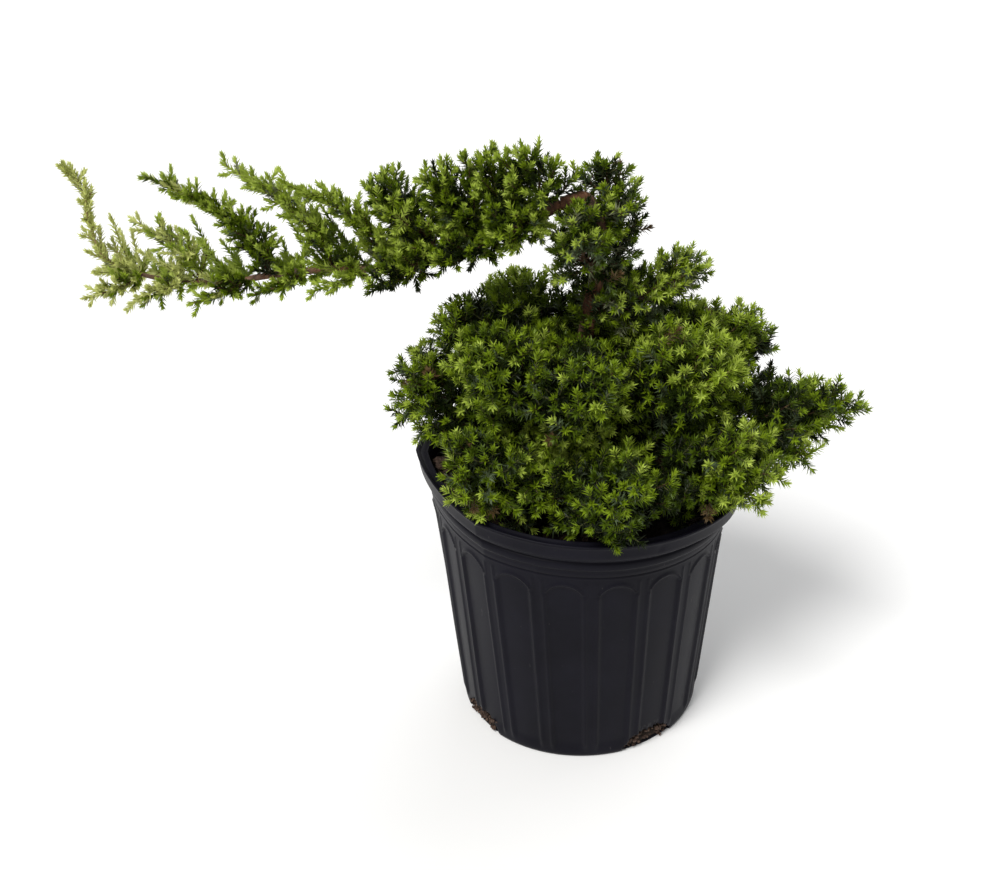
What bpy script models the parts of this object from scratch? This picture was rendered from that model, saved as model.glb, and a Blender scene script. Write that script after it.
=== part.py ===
"""A garden juniper trained as a half-cascade bonsai, growing in a ribbed nursery pot.

Metres, +Z up. The origin is the middle of the pot's flat underside, and the long leader
reaches out along -X. The trunk rises from the soil and bends over into the leader; low
boughs spread from its foot. Each mass of needles grows from one stem by a seeded rule and
keeps to the space that lies nearer to its own stem than to any other mass's stem.
"""
import math
import random

import bmesh
import bpy
import numpy as np
from mathutils.bvhtree import BVHTree
from mathutils import Matrix, Vector

# Pot
POT_HEIGHT = 0.195
FOOT_RADIUS = 0.0875
NECK_RADIUS = 0.104
NECK_HEIGHT = 0.166
LIP_RADIUS = 0.1112
LIP_WIDTH = 0.0085
COLLAR_FOOT = 0.183
COLLAR_STEP = 0.0022
COLLAR_SLOPE = 0.0014
LEDGE = 0.0016
LEDGE_HEIGHT = 0.174
POT_WALL = 0.0018
POT_FLOOR = 0.0020

# Flutes: angles in degrees from the middle of a flute
FLUTES = 18
FLUTE_TURN = -8.8
FLUTE_TOP = 0.163
FLUTE_DEPTH = 0.0017
ARCH_RISE = 0.010
ARCH_STEP = 0.0015
COLUMNS_PER_FLUTE = 6
FLUTE_SHOULDER = 3.8
FLUTE_EDGE = 7.3
RIB_EDGE = 8.7

# The pot is soft: its rim leans to the right and is pushed flat at the front left
RIM_LEAN = 0.09
DENT_MIDDLE = -67.0
DENT_HALF = 27.0
DENT_SHARE = 0.62

# Drain holes round the foot, the first one's bearing in degrees from the front
DRAIN_HOLES = 4
DRAIN_BEARING = 30.0
DRAIN_WIDTH = 0.038
DRAIN_RISE = 0.010
DRAIN_REACH = 0.008

# Soil
SOIL_TOP = 0.165
SOIL_SIDES = 30
SOIL_GAP = 0.0014
GAP = 0.0003
TRUNK_SEAT = 0.0007
SQUARE_END = 0.0015

# Trunk and leader: the points that each passes through
TRUNK_PATH = (
    (0.005, 0.000, SOIL_TOP + GAP),
    (0.006, 0.001, 0.200),
    (0.002, 0.003, 0.245),
    (0.008, 0.002, 0.292),
    (0.015, 0.000, 0.336),
    (0.017, -0.001, 0.366),
    (0.008, -0.002, 0.386),
    (-0.008, -0.002, 0.384),
)
TRUNK_RADIUS = 0.0066
TRUNK_TOP_RADIUS = 0.0044
TRUNK_SIDES = 12
FLARE = 0.0042
FLARE_HEIGHT = 0.009
FLARE_ROOTS = 5
FLARE_WAVE = 0.35
LEADER_PATH = (
    (-0.008, -0.002, 0.384),
    (-0.034, -0.002, 0.371),
    (-0.064, -0.001, 0.358),
    (-0.114, 0.002, 0.344),
    (-0.152, 0.000, 0.346),
    (-0.190, -0.002, 0.345),
    (-0.228, 0.000, 0.340),
    (-0.268, 0.002, 0.343),
    (-0.290, 0.002, 0.350),
)
LEADER_RADIUS = 0.0040
LEADER_TIP_RADIUS = 0.0012
LEADER_SIDES = 8
LEADER_SPLIT = 0.36

BEND_PULL = 0.45

# Low boughs: name, bearing from +X, height on the trunk, where the mass's stem ends
# (distance from the trunk, height) and the reach of its twigs
LOW_BOUGHS = (
    ("front", -84.0, 0.196, 0.098, 0.220, 0.053),
    ("front_left", -132.0, 0.204, 0.096, 0.224, 0.052),
    ("left", 178.0, 0.214, 0.092, 0.246, 0.054),
    ("back_left", 131.0, 0.206, 0.078, 0.250, 0.052),
    ("back", 84.0, 0.198, 0.088, 0.236, 0.052),
    ("back_right", 40.0, 0.208, 0.102, 0.244, 0.052),
    ("right", -2.0, 0.212, 0.150, 0.222, 0.060),
    ("front_right", -40.0, 0.206, 0.108, 0.220, 0.054),
)
BOUGH_RADIUS = 0.0034
BOUGH_TIP_RADIUS = 0.0024
BOUGH_SIDES = 6
BOUGH_SHARE = 0.25
BOUGH_STEPS = 8
STEM_POINTS = 4

# Upper tier and column, whose stems leave the trunk: name, bearing, height on the trunk,
# where the stem ends (distance, height) and the reach of its twigs
TRUNK_MASSES = (
    ("upper_front", -95.0, 0.240, 0.060, 0.270, 0.054),
    ("upper_front_left", -138.0, 0.250, 0.068, 0.278, 0.049),
    ("upper_front_right", -38.0, 0.248, 0.080, 0.272, 0.050),
    ("upper_right", 8.0, 0.262, 0.099, 0.263, 0.045),
    ("upper_back_right", 62.0, 0.264, 0.064, 0.280, 0.042),
    ("upper_back_left", 128.0, 0.260, 0.062, 0.282, 0.040),
    ("upper_left", 186.0, 0.262, 0.066, 0.288, 0.042),
    ("column_right", 4.0, 0.310, 0.051, 0.322, 0.036),
    ("column_back", 96.0, 0.334, 0.030, 0.358, 0.034),
    ("column_front", -125.0, 0.342, 0.024, 0.370, 0.030),
    ("column_top", 8.0, 0.354, 0.004, 0.390, 0.028),
)

# Leader's masses: stations as shares of the leader's length, with each one's rise
TOP_STATIONS = (0.03, 0.12, 0.21, 0.31, 0.40, 0.52, 0.65, 0.80)
TOP_RISE = (0.030, 0.037, 0.043, 0.048, 0.078, 0.082, 0.088, 0.046)
TOP_SHORT = 0.35
TOP_HEADING = (-0.62, 0.12, 0.72)
SIDE_STATIONS = (0.07, 0.21, 0.33, 0.46, 0.58, 0.71, 0.84, 0.95)
SIDE_STEM = 0.8
SIDE_REACH = 0.027
SIDE_SHARE = 0.84
SIDE_HEADING = (-0.62, 0.74, -0.10)
DENSE_TO = 0.36
INNER_WIDTH = 0.033
OUTER_WIDTH = 0.026
TIP_PATH = (
    (-0.290, 0.002, 0.350),
    (-0.304, 0.002, 0.359),
    (-0.309, 0.001, 0.380),
    (-0.3075, 0.000, 0.400),
    (-0.313, -0.001, 0.414),
)
TIP_WIDTH = 0.017

# Sprays of needles
FIRST_SEED = 100
SEED_STEP = 1000
ATTEMPTS = 6
TORN_WEIGHT = 100
NARROWEST = 0.00001
TOUCHING = 0.000005
GOLDEN_ANGLE = math.radians(137.508)
NEEDLE = 0.0065
NEEDLE_PER_WIDTH = 0.140
ROOT_SPREAD = 88.0
PLUME_SPREAD = 50.0
TIP_SPREAD = 22.0
NEEDLE_LEAN = 0.62
SPRAY_CORE = 0.0019
SPRAY_HEAD = 0.7
TIP_SHORT = 0.6
SLIMMEST = 0.10
WHORL = 0.40
SWAY = 8.0
LIFT = (0.10, 0.28)
REACH = (0.94, 1.06)
END_SHOOT = 0.60
END_SPIN = math.radians(23.0)
NEEDLE_LIMIT = 0.42
SHORTER = 0.9
ROOT_DEPTH = 0.7
FIRST_SHOOT = 0.16
STEM_RADIUS = 0.0020
STEM_TAPER = 0.6
MOUND_SPRAYS = 24
COLUMN_SPRAYS = 13
INNER_SPRAYS = 15
OUTER_SPRAYS = 10
SIDE_SPRAYS = 7
TIP_SPRAYS = 8
CORE_SHARE = 0.60
CORE_CLEAR = 0.0020
CORE_ROUGH = 0.22
CORE_START = 0.42
CORE_END = 0.90
MASS_CLEAR = 0.0010
CORE_MASS_CLEAR = 0.0030
POT_CLEAR = 0.0020
LIMB_CLEAR = 0.0012
SHORTEST = 0.012

COLOURS = {
    "pot": ((0.012, 0.013, 0.016), 0.42),
    "soil": ((0.045, 0.028, 0.018), 0.95),
    "bark": ((0.110, 0.055, 0.035), 0.85),
    "needles": ((0.070, 0.170, 0.035), 0.60),
    "pale_needles": ((0.200, 0.260, 0.090), 0.60),
}


def clear_scene():
    """Remove whatever the new file holds."""
    for item in list(bpy.data.objects):
        bpy.data.objects.remove(item, do_unlink=True)


def make_collection(name):
    """Add a collection to the scene."""
    collection = bpy.data.collections.new(name)
    bpy.context.scene.collection.children.link(collection)
    return collection


def make_material(name, look):
    """A Principled material with the part's own colour and roughness."""
    colour, roughness = COLOURS[look]
    material = bpy.data.materials.new(name)
    material.use_nodes = True
    shader = material.node_tree.nodes["Principled BSDF"]
    shader.inputs["Base Color"].default_value = (*colour, 1.0)
    shader.inputs["Roughness"].default_value = roughness
    shader.inputs["Metallic"].default_value = 0.0
    return material


def add_object(name, mesh, look, collection):
    """Put a mesh in the scene as the sub-part called name."""
    item = bpy.data.objects.new(name, mesh)
    mesh.materials.clear()
    mesh.materials.append(make_material(name, look))
    collection.objects.link(item)
    return item


def evaluated_mesh(item):
    """The object's mesh with its modifiers or bevel applied."""
    depsgraph = bpy.context.evaluated_depsgraph_get()
    depsgraph.update()
    return bpy.data.meshes.new_from_object(item.evaluated_get(depsgraph))


def drop_object(item):
    """Remove an object that was only a step on the way."""
    bpy.data.objects.remove(item, do_unlink=True)


def wall_radius(z):
    """Outer radius of the pot's plain tapering wall at height z."""
    return FOOT_RADIUS + (NECK_RADIUS - FOOT_RADIUS) * z / NECK_HEIGHT


def dent_factor(bearing, z):
    """How far the pushed-in stretch of wall is drawn in, as a share of its radius."""
    off = (bearing - DENT_MIDDLE + 180.0) % 360.0 - 180.0
    if abs(off) >= DENT_HALF:
        return 1.0
    chord = math.cos(math.radians(DENT_HALF)) / math.cos(math.radians(off))
    return 1.0 - DENT_SHARE * (1.0 - chord) * z / POT_HEIGHT


def rim_height(x):
    """Height of the leaning rim above a place x."""
    return POT_HEIGHT - RIM_LEAN * x


def pot_profile():
    """Half section: floor inside, up the inner wall, over the lip, down the outside."""
    lip_inner = LIP_RADIUS - LIP_WIDTH
    collar = LIP_RADIUS - COLLAR_SLOPE
    return (
        (0.0, POT_FLOOR),
        (wall_radius(0.0) - POT_WALL, POT_FLOOR),
        (wall_radius(FLUTE_TOP - ARCH_STEP) - POT_WALL, FLUTE_TOP - ARCH_STEP),
        (lip_inner, POT_HEIGHT - 0.001),
        (LIP_RADIUS - 0.0010, POT_HEIGHT),
        (collar, COLLAR_FOOT),
        (collar - COLLAR_STEP, COLLAR_FOOT - 0.0012),
        (NECK_RADIUS + LEDGE, LEDGE_HEIGHT),
        (wall_radius(FLUTE_TOP), FLUTE_TOP),
        (wall_radius(FLUTE_TOP - ARCH_STEP), FLUTE_TOP - ARCH_STEP),
        (FOOT_RADIUS, 0.0),
        (0.0, 0.0),
    )


def flute_angle(offset):
    """Draw the evenly spaced columns of a flute to its shoulder, edge and rib."""
    pitch = 360.0 / FLUTES / COLUMNS_PER_FLUTE
    places = (FLUTE_SHOULDER, FLUTE_EDGE, RIB_EDGE)
    place = places[min(2, int(abs(offset) / pitch))]
    return math.copysign(place, offset)


def warp_pot(mesh):
    """Sink the arched flutes into the wall, then lean and dent the whole pot."""
    pitch = 360.0 / FLUTES
    for vertex in mesh.vertices:
        x, y, z = vertex.co
        radius = math.hypot(x, y)
        if radius > 0.5 * FOOT_RADIUS:
            bearing = math.degrees(math.atan2(x, -y)) - FLUTE_TURN
            middle = round(bearing / pitch) * pitch
            offset = flute_angle(bearing - middle)
            if z <= FLUTE_TOP - ARCH_STEP + 1e-6 and abs(offset) <= FLUTE_EDGE:
                radius -= FLUTE_DEPTH
            if FLUTE_TOP - 2.0 * ARCH_STEP < z <= FLUTE_TOP + 1e-6:
                z -= ARCH_RISE * min(1.0, abs(offset) / FLUTE_EDGE) ** 2
            bearing = middle + offset + FLUTE_TURN
            radius *= dent_factor(bearing, z)
            x = radius * math.sin(math.radians(bearing))
            y = -radius * math.cos(math.radians(bearing))
        vertex.co = (x, y, z - RIM_LEAN * x * z / POT_HEIGHT)


def make_drain_cutters(cutters):
    """One bevelled block for each drain hole in the pot's foot."""
    blocks = []
    for index in range(DRAIN_HOLES):
        bearing = math.radians(DRAIN_BEARING + 360.0 / DRAIN_HOLES * index)
        bpy.ops.mesh.primitive_cube_add(size=1.0)
        block = bpy.context.object
        block.name = f"cut_drain_{index}"
        depth = 2.0 * DRAIN_REACH
        block.data.transform(Matrix.Diagonal((DRAIN_WIDTH, depth, 2.0 * DRAIN_RISE, 1.0)))
        block.rotation_euler = (0.0, 0.0, bearing)
        block.location = (FOOT_RADIUS * math.sin(bearing), -FOOT_RADIUS * math.cos(bearing), 0.0)
        bevel = block.modifiers.new("round", "BEVEL")
        bevel.width = 0.35 * DRAIN_RISE
        bevel.segments = 2
        block.hide_render = True
        block.display_type = "WIRE"
        for holder in list(block.users_collection):
            holder.objects.unlink(block)
        cutters.objects.link(block)
        blocks.append(block)
    return blocks


def make_pot(collection, cutters):
    """The turned pot with its flutes, lean and dent, cut by its drain holes."""
    profile = bpy.data.meshes.new("pot_profile")
    points = [(radius, 0.0, z) for radius, z in pot_profile()]
    profile.from_pydata(points, [(i, i + 1) for i in range(len(points) - 1)], [])
    turned = bpy.data.objects.new("pot_turned", profile)
    collection.objects.link(turned)
    step = 360.0 / FLUTES / COLUMNS_PER_FLUTE
    turned.rotation_euler = (0.0, 0.0, math.radians(FLUTE_TURN + 0.5 * step - 90.0))
    screw = turned.modifiers.new("turn", "SCREW")
    screw.steps = FLUTES * COLUMNS_PER_FLUTE
    screw.render_steps = screw.steps
    screw.use_merge_vertices = True
    screw.merge_threshold = 0.00005
    mesh = evaluated_mesh(turned)
    mesh.transform(turned.matrix_world)
    drop_object(turned)
    warp_pot(mesh)
    mesh.shade_smooth()
    mesh.set_sharp_from_angle(angle=math.radians(32.0))
    pot = add_object("pot", mesh, "pot", collection)
    for block in make_drain_cutters(cutters):
        cut = pot.modifiers.new(block.name, "BOOLEAN")
        cut.operation = "DIFFERENCE"
        cut.object = block
    return pot


def make_soil(collection):
    """The potting soil, a frustum that fits the leaning, dented wall with a small gap."""
    bm = bmesh.new()
    foot = POT_FLOOR + GAP
    bmesh.ops.create_cone(
        bm, cap_ends=True, segments=SOIL_SIDES, radius1=1.0, radius2=1.0, depth=1.0)
    for vertex in bm.verts:
        height = SOIL_TOP if vertex.co.z > 0.0 else foot
        bearing = math.degrees(math.atan2(vertex.co.x, -vertex.co.y))
        reach = NECK_RADIUS * math.sin(math.radians(bearing))
        wall_height = height / (1.0 - RIM_LEAN * reach / POT_HEIGHT)
        radius = wall_radius(wall_height) - POT_WALL - FLUTE_DEPTH - SOIL_GAP
        radius *= dent_factor(bearing, wall_height)
        vertex.co = (vertex.co.x * radius, vertex.co.y * radius, height)
    mesh = bpy.data.meshes.new("soil")
    bm.to_mesh(mesh)
    bm.free()
    return add_object("soil", mesh, "soil", collection)


def smooth_path(points, per_span):
    """A Catmull-Rom curve through the points, as a list of vectors."""
    knots = [Vector(point) for point in points]
    ends = [2 * knots[0] - knots[1]] + knots + [2 * knots[-1] - knots[-2]]
    path = []
    for index in range(1, len(ends) - 2):
        before, start, end, after = ends[index - 1:index + 3]
        for step in range(per_span):
            t = step / per_span
            path.append(0.5 * (
                2 * start + (end - before) * t
                + (2 * before - 5 * start + 4 * end - after) * t ** 2
                + (3 * start - before - 3 * end + after) * t ** 3))
    path.append(knots[-1])
    return path


def taper(start, end, count):
    """Radii that shrink evenly from start to end."""
    return [start + (end - start) * index / (count - 1) for index in range(count)]


def make_limb(name, path, radii, sides, collection):
    """One tapering limb: a bevelled curve along the path, made a closed mesh."""
    curve = bpy.data.curves.new(name, "CURVE")
    curve.dimensions = "3D"
    curve.bevel_depth = 1.0
    curve.bevel_resolution = sides // 2 - 2
    curve.use_fill_caps = True
    spline = curve.splines.new("POLY")
    spline.points.add(len(path) - 1)
    for point, place, radius in zip(spline.points, path, radii):
        point.co = (*place, 1.0)
        point.radius = radius
    guide = bpy.data.objects.new(name + "_guide", curve)
    collection.objects.link(guide)
    mesh = evaluated_mesh(guide)
    drop_object(guide)
    bm = bmesh.new()
    bm.from_mesh(mesh)
    bmesh.ops.remove_doubles(bm, verts=bm.verts, dist=0.000005)
    bmesh.ops.recalc_face_normals(bm, faces=bm.faces)
    bm.to_mesh(mesh)
    bm.free()
    mesh.shade_smooth()
    mesh.set_sharp_from_angle(angle=math.radians(50.0))
    return add_object(name, mesh, "bark", collection)


def flare_trunk(mesh):
    """Spread the trunk's foot into buttress roots and cut it flat at the soil."""
    ground = TRUNK_PATH[0][2]
    foot = Vector(TRUNK_PATH[0])
    for vertex in mesh.vertices:
        side = Vector((vertex.co.x - foot.x, vertex.co.y - foot.y, 0.0))
        fade = math.exp(-max(0.0, vertex.co.z - ground) / FLARE_HEIGHT)
        root = 1.0 + FLARE_WAVE * math.cos(FLARE_ROOTS * math.atan2(side.y, side.x))
        vertex.co += side.normalized() * FLARE * root * fade
        if vertex.co.z < ground + SQUARE_END:
            vertex.co.z = ground


class Limb:
    """A limb's path and radii, for the needles to keep clear of."""

    def __init__(self, path, radii):
        self.path = path
        self.radii = radii

    def at(self, share):
        """Centre, heading and radius at a share of the limb's length."""
        place = share * (len(self.path) - 1)
        index = min(int(place), len(self.path) - 2)
        part = place - index
        centre = self.path[index].lerp(self.path[index + 1], part)
        heading = (self.path[index + 1] - self.path[index]).normalized()
        radius = self.radii[index] + (self.radii[index + 1] - self.radii[index]) * part
        return centre, heading, radius

    def at_height(self, height):
        """Centre and radius where an upright limb passes a height."""
        for index in range(len(self.path) - 1):
            low, high = self.path[index], self.path[index + 1]
            if low.z <= height <= high.z:
                part = (height - low.z) / (high.z - low.z)
                radius = self.radii[index] + (self.radii[index + 1] - self.radii[index]) * part
                return low.lerp(high, part), radius
        raise ValueError("the limb does not reach that height")

    def section(self, start, end):
        """The stretch of the limb between two of its points."""
        return Limb(self.path[start:end + 1], self.radii[start:end + 1])

    def square_tip(self, heading):
        """End in a face square to the heading, half a gap short of the last point."""
        end = self.path[-1]
        self.path[-1:] = [end - heading * SQUARE_END, end - heading * 0.5 * GAP]
        self.radii.append(self.radii[-1])

    def square_root(self, heading):
        """Begin with a face square to the heading, half a gap past the first point."""
        start = self.path[0]
        self.path[:1] = [start + heading * 0.5 * GAP, start + heading * SQUARE_END]
        self.radii.insert(0, self.radii[0])


class Mass:
    """One mass of needles: its stem, the reach of its twigs and how many it bears."""

    def __init__(self, name, stem, radius, width, sprays, dense, look):
        self.name = name
        self.stem = stem
        self.radius = radius
        self.width = width
        self.sprays = sprays
        self.dense = dense
        self.look = look
        self.needle = NEEDLE + NEEDLE_PER_WIDTH * width
        self.spread = ROOT_SPREAD if dense else PLUME_SPREAD


def distance_to_path(points, path, radii):
    """Least distance from each point to the path, less the path's radius there."""
    best = np.full(len(points), np.inf)
    for index in range(len(path) - 1):
        start = np.array(path[index])
        span = np.array(path[index + 1]) - start
        share = np.clip((points - start) @ span / (span @ span), 0.0, 1.0)
        radius = radii[index] + (radii[index + 1] - radii[index]) * share
        away = np.linalg.norm(points - start - share[:, None] * span, axis=1)
        best = np.minimum(best, away - radius)
    return best


class Plant:
    """Every limb and mass, with the test that keeps needles in their own space."""

    def __init__(self):
        self.limbs = []
        self.masses = []

    def add_mass(self, name, stem, heading, radius, width, sprays, dense, look):
        """Add a mass whose stem starts square to the heading, clear of what bears it."""
        radius = min(radius, STEM_RADIUS)
        root = Limb(stem, [radius] * len(stem))
        root.square_root(heading)
        self.masses.append(Mass(name, root.path, radius, width, sprays, dense, look))

    def beyond(self, mass, points):
        """How far each point lies outside the reach of the mass's own twigs."""
        return distance_to_path(points, mass.stem, [mass.width] * len(mass.stem))

    def free(self, mass, points, margin):
        """True when every point is in the mass's space and clear of limbs and pot."""
        points = np.array(points)
        own = self.beyond(mass, points)
        if own.max() > 0.0:
            return False
        for other in self.masses:
            if other is not mass and (self.beyond(other, points) - own).min() < 2.0 * margin:
                return False
        return self.limb_room(points) >= LIMB_CLEAR and clear_of_pot(points)

    def limb_room(self, points):
        """Least distance from the points to the trunk, the leader or a bough."""
        points = np.array(points)
        return min(
            distance_to_path(points, limb.path, limb.radii).min() for limb in self.limbs)


def clear_of_pot(points):
    """True when every point is above the soil, over the rim or outside the pot."""
    radius = np.hypot(points[:, 0], points[:, 1])
    inside = radius < LIP_RADIUS - LIP_WIDTH - 2.0 * POT_CLEAR
    outside = radius > LIP_RADIUS + POT_CLEAR
    floor = np.where(inside, SOIL_TOP, rim_height(points[:, 0]))
    low = points[:, 2] < floor + POT_CLEAR
    return not np.any(low & ~outside)


def has_corner(face, place):
    """True where the facet has a corner at the place."""
    return any((corner.co - place).length < 1e-7 for corner in face.verts)


def make_shoot(shoot):
    """A closed spindle along the shoot's line, with a needle drawn out of each upper facet."""
    root, middle, tip = shoot.line
    bm = bmesh.new()
    bmesh.ops.create_uvsphere(bm, u_segments=3, v_segments=2, radius=1.0)
    turn = (tip - root).to_track_quat("Z", "Y").to_matrix() @ Matrix.Rotation(shoot.spin, 3, "Z")
    for vertex in bm.verts:
        side = Vector((vertex.co.x, vertex.co.y, 0.0))
        if side.length > 0.5:
            vertex.co = middle + turn @ (side * shoot.thick)
        else:
            vertex.co = tip if vertex.co.z > 0.0 else root
    for face in [face for face in bm.faces if has_corner(face, tip)]:
        away = face.calc_center_median() - middle
        poked = bmesh.ops.poke(bm, faces=[face])
        poked["verts"][0].co = shoot.needle_tip(away)
    bmesh.ops.recalc_face_normals(bm, faces=bm.faces)
    return bm


class Shoot:
    """A shoot: its line from a sunk root past its thickest place to its tip."""

    def __init__(self, root, heading, length, needle, lift, spin):
        reach = length - TIP_SHORT * needle
        bare = max(0.5 * reach, reach - SPRAY_HEAD * needle)
        middle = root + heading * bare + Vector((0.0, 0.0, lift * bare ** 2 / length))
        tip = root + heading * reach + Vector((0.0, 0.0, lift * reach ** 2 / length))
        self.line = (root, middle, tip)
        self.needle = needle
        self.thick = min(SPRAY_CORE, SLIMMEST * length)
        self.spin = spin

    def places(self):
        """Places to test: the shoot's line and the circles that its needles sweep."""
        root, middle, tip = self.line
        tests = [root.lerp(middle, share) for share in (0.2, 0.45, 0.7, 1.0)] + [tip]
        for corner in range(8):
            turn = Matrix.Rotation(math.radians(45.0 * corner), 3, tip - root)
            point = self.needle_tip(turn @ (tip - root).orthogonal())
            tests.append(point)
            tests.append(middle.lerp(point, 0.5))
        return tests

    def needle_tip(self, away):
        """Where the needle that leaves the shoot on the given side ends."""
        root, middle, tip = self.line
        forward = (tip - root).normalized()
        side = (away - forward * away.dot(forward)).normalized()
        foot = middle.lerp(tip, WHORL)
        return foot + self.needle * (
            side * math.cos(NEEDLE_LEAN) + forward * math.sin(NEEDLE_LEAN))


def grow_shoots(plant, mass, rng):
    """Shoots dealt out along the stem by the golden angle, each grown as long as fits."""
    shoots = []
    stem = Limb(mass.stem, [mass.radius] * len(mass.stem))
    spin = rng.uniform(0.0, math.tau)
    for index in range(mass.sprays):
        share = (index + 0.5) / mass.sprays
        root, along, _ = stem.at(FIRST_SHOOT + (1.0 - FIRST_SHOOT) * share)
        side = along.orthogonal().normalized()
        side.rotate(Matrix.Rotation(spin + GOLDEN_ANGLE * index, 3, along))
        spread = mass.spread + (TIP_SPREAD - mass.spread) * share + rng.uniform(-SWAY, SWAY)
        heading = along * math.cos(math.radians(spread)) + side * math.sin(math.radians(spread))
        lift = rng.uniform(*LIFT)
        turn = rng.uniform(0.0, math.tau)
        length = mass.width * rng.uniform(*REACH) + mass.radius
        root = root - heading * ROOT_DEPTH * mass.radius
        while length >= SHORTEST:
            needle = min(mass.needle, NEEDLE_LIMIT * length)
            shoot = Shoot(root, heading, length, needle, lift, turn)
            if plant.free(mass, shoot.places(), MASS_CLEAR):
                shoots.append(shoot)
                break
            length *= SHORTER
    return shoots


def make_core(plant, mass, rng):
    """A dense mass's inner core: a ball stretched along the stem, kept in its space."""
    bm = bmesh.new()
    bmesh.ops.create_icosphere(bm, subdivisions=1, radius=1.0)
    stem = Limb(mass.stem, [mass.radius] * len(mass.stem))
    near, _, _ = stem.at(CORE_START)
    far, _, _ = stem.at(CORE_END)
    middle = 0.5 * (near + far)
    half = 0.5 * (far - near)
    for vertex in bm.verts:
        ball = vertex.co.copy()
        along = half * ball.dot(half.normalized())
        room = plant.limb_room([middle + along]) - CORE_CLEAR
        radius = min(CORE_SHARE * mass.width, room) * (1.0 - CORE_ROUGH * rng.random())
        reach = ball * radius + along
        while reach.length > CORE_CLEAR and not plant.free(
                mass, [middle + reach], CORE_MASS_CLEAR):
            reach *= SHORTER
        vertex.co = middle + reach
    return bm


def shells_of(bm):
    """The mesh's faces in groups that hang together across edges of two faces."""
    unseen = set(bm.faces)
    shells = []
    while unseen:
        shell = set()
        queue = [unseen.pop()]
        while queue:
            face = queue.pop()
            shell.add(face)
            for edge in face.edges:
                if len(edge.link_faces) != 2:
                    continue
                for other in edge.link_faces:
                    if other in unseen:
                        unseen.discard(other)
                        queue.append(other)
        shells.append(shell)
    return sorted(shells, key=len, reverse=True)


def keep_largest(mesh):
    """Fill sealed hollows and drop loose scraps: only the largest shell stays."""
    bm = bmesh.new()
    bm.from_mesh(mesh)
    bmesh.ops.dissolve_degenerate(bm, edges=bm.edges, dist=NARROWEST)
    bmesh.ops.triangulate(bm, faces=bm.faces)
    for shell in shells_of(bm)[1:]:
        bmesh.ops.delete(bm, geom=list(shell), context="FACES")
    bm.to_mesh(mesh)
    bm.free()


def count_flaws(mesh):
    """How often the mesh is torn, in pieces, or has a corner lying on another face."""
    bm = bmesh.new()
    bm.from_mesh(mesh)
    bm.faces.ensure_lookup_table()
    tree = BVHTree.FromBMesh(bm)
    torn = sum(len(edge.link_faces) != 2 for edge in bm.edges)
    flaws = TORN_WEIGHT * (torn + len(shells_of(bm)) - 1)
    for vertex in bm.verts:
        for _, _, index, _ in tree.find_nearest_range(vertex.co, TOUCHING):
            if vertex not in bm.faces[index].verts[:]:
                flaws += 1
    bm.free()
    return flaws


def make_stem(mass):
    """The mass's stem: a three-sided taper, square where it meets its limb."""
    bm = bmesh.new()
    radii = taper(mass.radius, STEM_TAPER * mass.radius, len(mass.stem))
    rings = []
    before = mass.stem[1] - mass.stem[0]
    turn = before.to_track_quat("Z", "Y")
    for index, (place, radius) in enumerate(zip(mass.stem, radii)):
        ahead = mass.stem[min(index + 1, len(radii) - 1)] - mass.stem[max(index - 1, 0)]
        if index == 0:
            ahead = before
        turn = before.rotation_difference(ahead) @ turn
        before = ahead
        ring = bmesh.ops.create_circle(bm, segments=3, radius=radius)["verts"]
        for vertex in ring:
            vertex.co = place + turn @ vertex.co
        rings.append(ring)
    for low, high in zip(rings, rings[1:]):
        for corner in range(3):
            after = (corner + 1) % 3
            bm.faces.new((low[corner], low[after], high[after], high[corner]))
    bm.faces.new(rings[0])
    bm.faces.new(rings[-1])
    bmesh.ops.recalc_face_normals(bm, faces=bm.faces)
    return bm


def join_pieces(pieces, name, collection):
    """Fuse the pieces by one union, fill its sealed hollows and thin its faces."""
    parts = bpy.data.collections.new(name + "_parts")
    bpy.context.scene.collection.children.link(parts)
    objects = []
    for bm in pieces:
        mesh = bpy.data.meshes.new(name + "_piece")
        bm.to_mesh(mesh)
        bm.free()
        objects.append(bpy.data.objects.new(mesh.name, mesh))
    base = objects[0]
    collection.objects.link(base)
    for piece in objects[1:]:
        parts.objects.link(piece)
    fuse = base.modifiers.new("fuse", "BOOLEAN")
    fuse.operation = "UNION"
    fuse.operand_type = "COLLECTION"
    fuse.collection = parts
    fuse.solver = "MANIFOLD"
    fused = evaluated_mesh(base)
    for piece in objects[1:]:
        drop_object(piece)
    bpy.data.collections.remove(parts)
    keep_largest(fused)
    drop_object(base)
    return fused


def grow_pieces(plant, mass, rng):
    """The closed pieces of a mass: stem, end shoot, core if it is dense, and shoots."""
    along = (mass.stem[-1] - mass.stem[-2]).normalized()
    root = mass.stem[-1] - along * 2.0 * mass.radius
    end = Shoot(root, along, END_SHOOT * mass.width, mass.needle, 0.0, END_SPIN)
    pieces = [make_stem(mass), make_shoot(end)]
    if mass.dense:
        pieces.append(make_core(plant, mass, rng))
    for shoot in grow_shoots(plant, mass, rng):
        pieces.append(make_shoot(shoot))
    return pieces


def make_mass(plant, mass, seed, collection):
    """Grow a mass as one solid, again from other seeds where its pieces fuse badly.

    The best try is kept. From the third try on the mass bears fewer sprays.
    """
    fewest = math.inf
    for attempt in range(ATTEMPTS):
        if attempt > 1:
            mass.sprays -= 1
        rng = random.Random(seed + attempt * SEED_STEP)
        tried = join_pieces(grow_pieces(plant, mass, rng), mass.name, collection)
        flaws = count_flaws(tried)
        if flaws < fewest:
            fewest = flaws
            mesh = tried
        if flaws == 0:
            break
    mesh.shade_flat()
    return add_object(mass.name, mesh, mass.look, collection)


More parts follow.
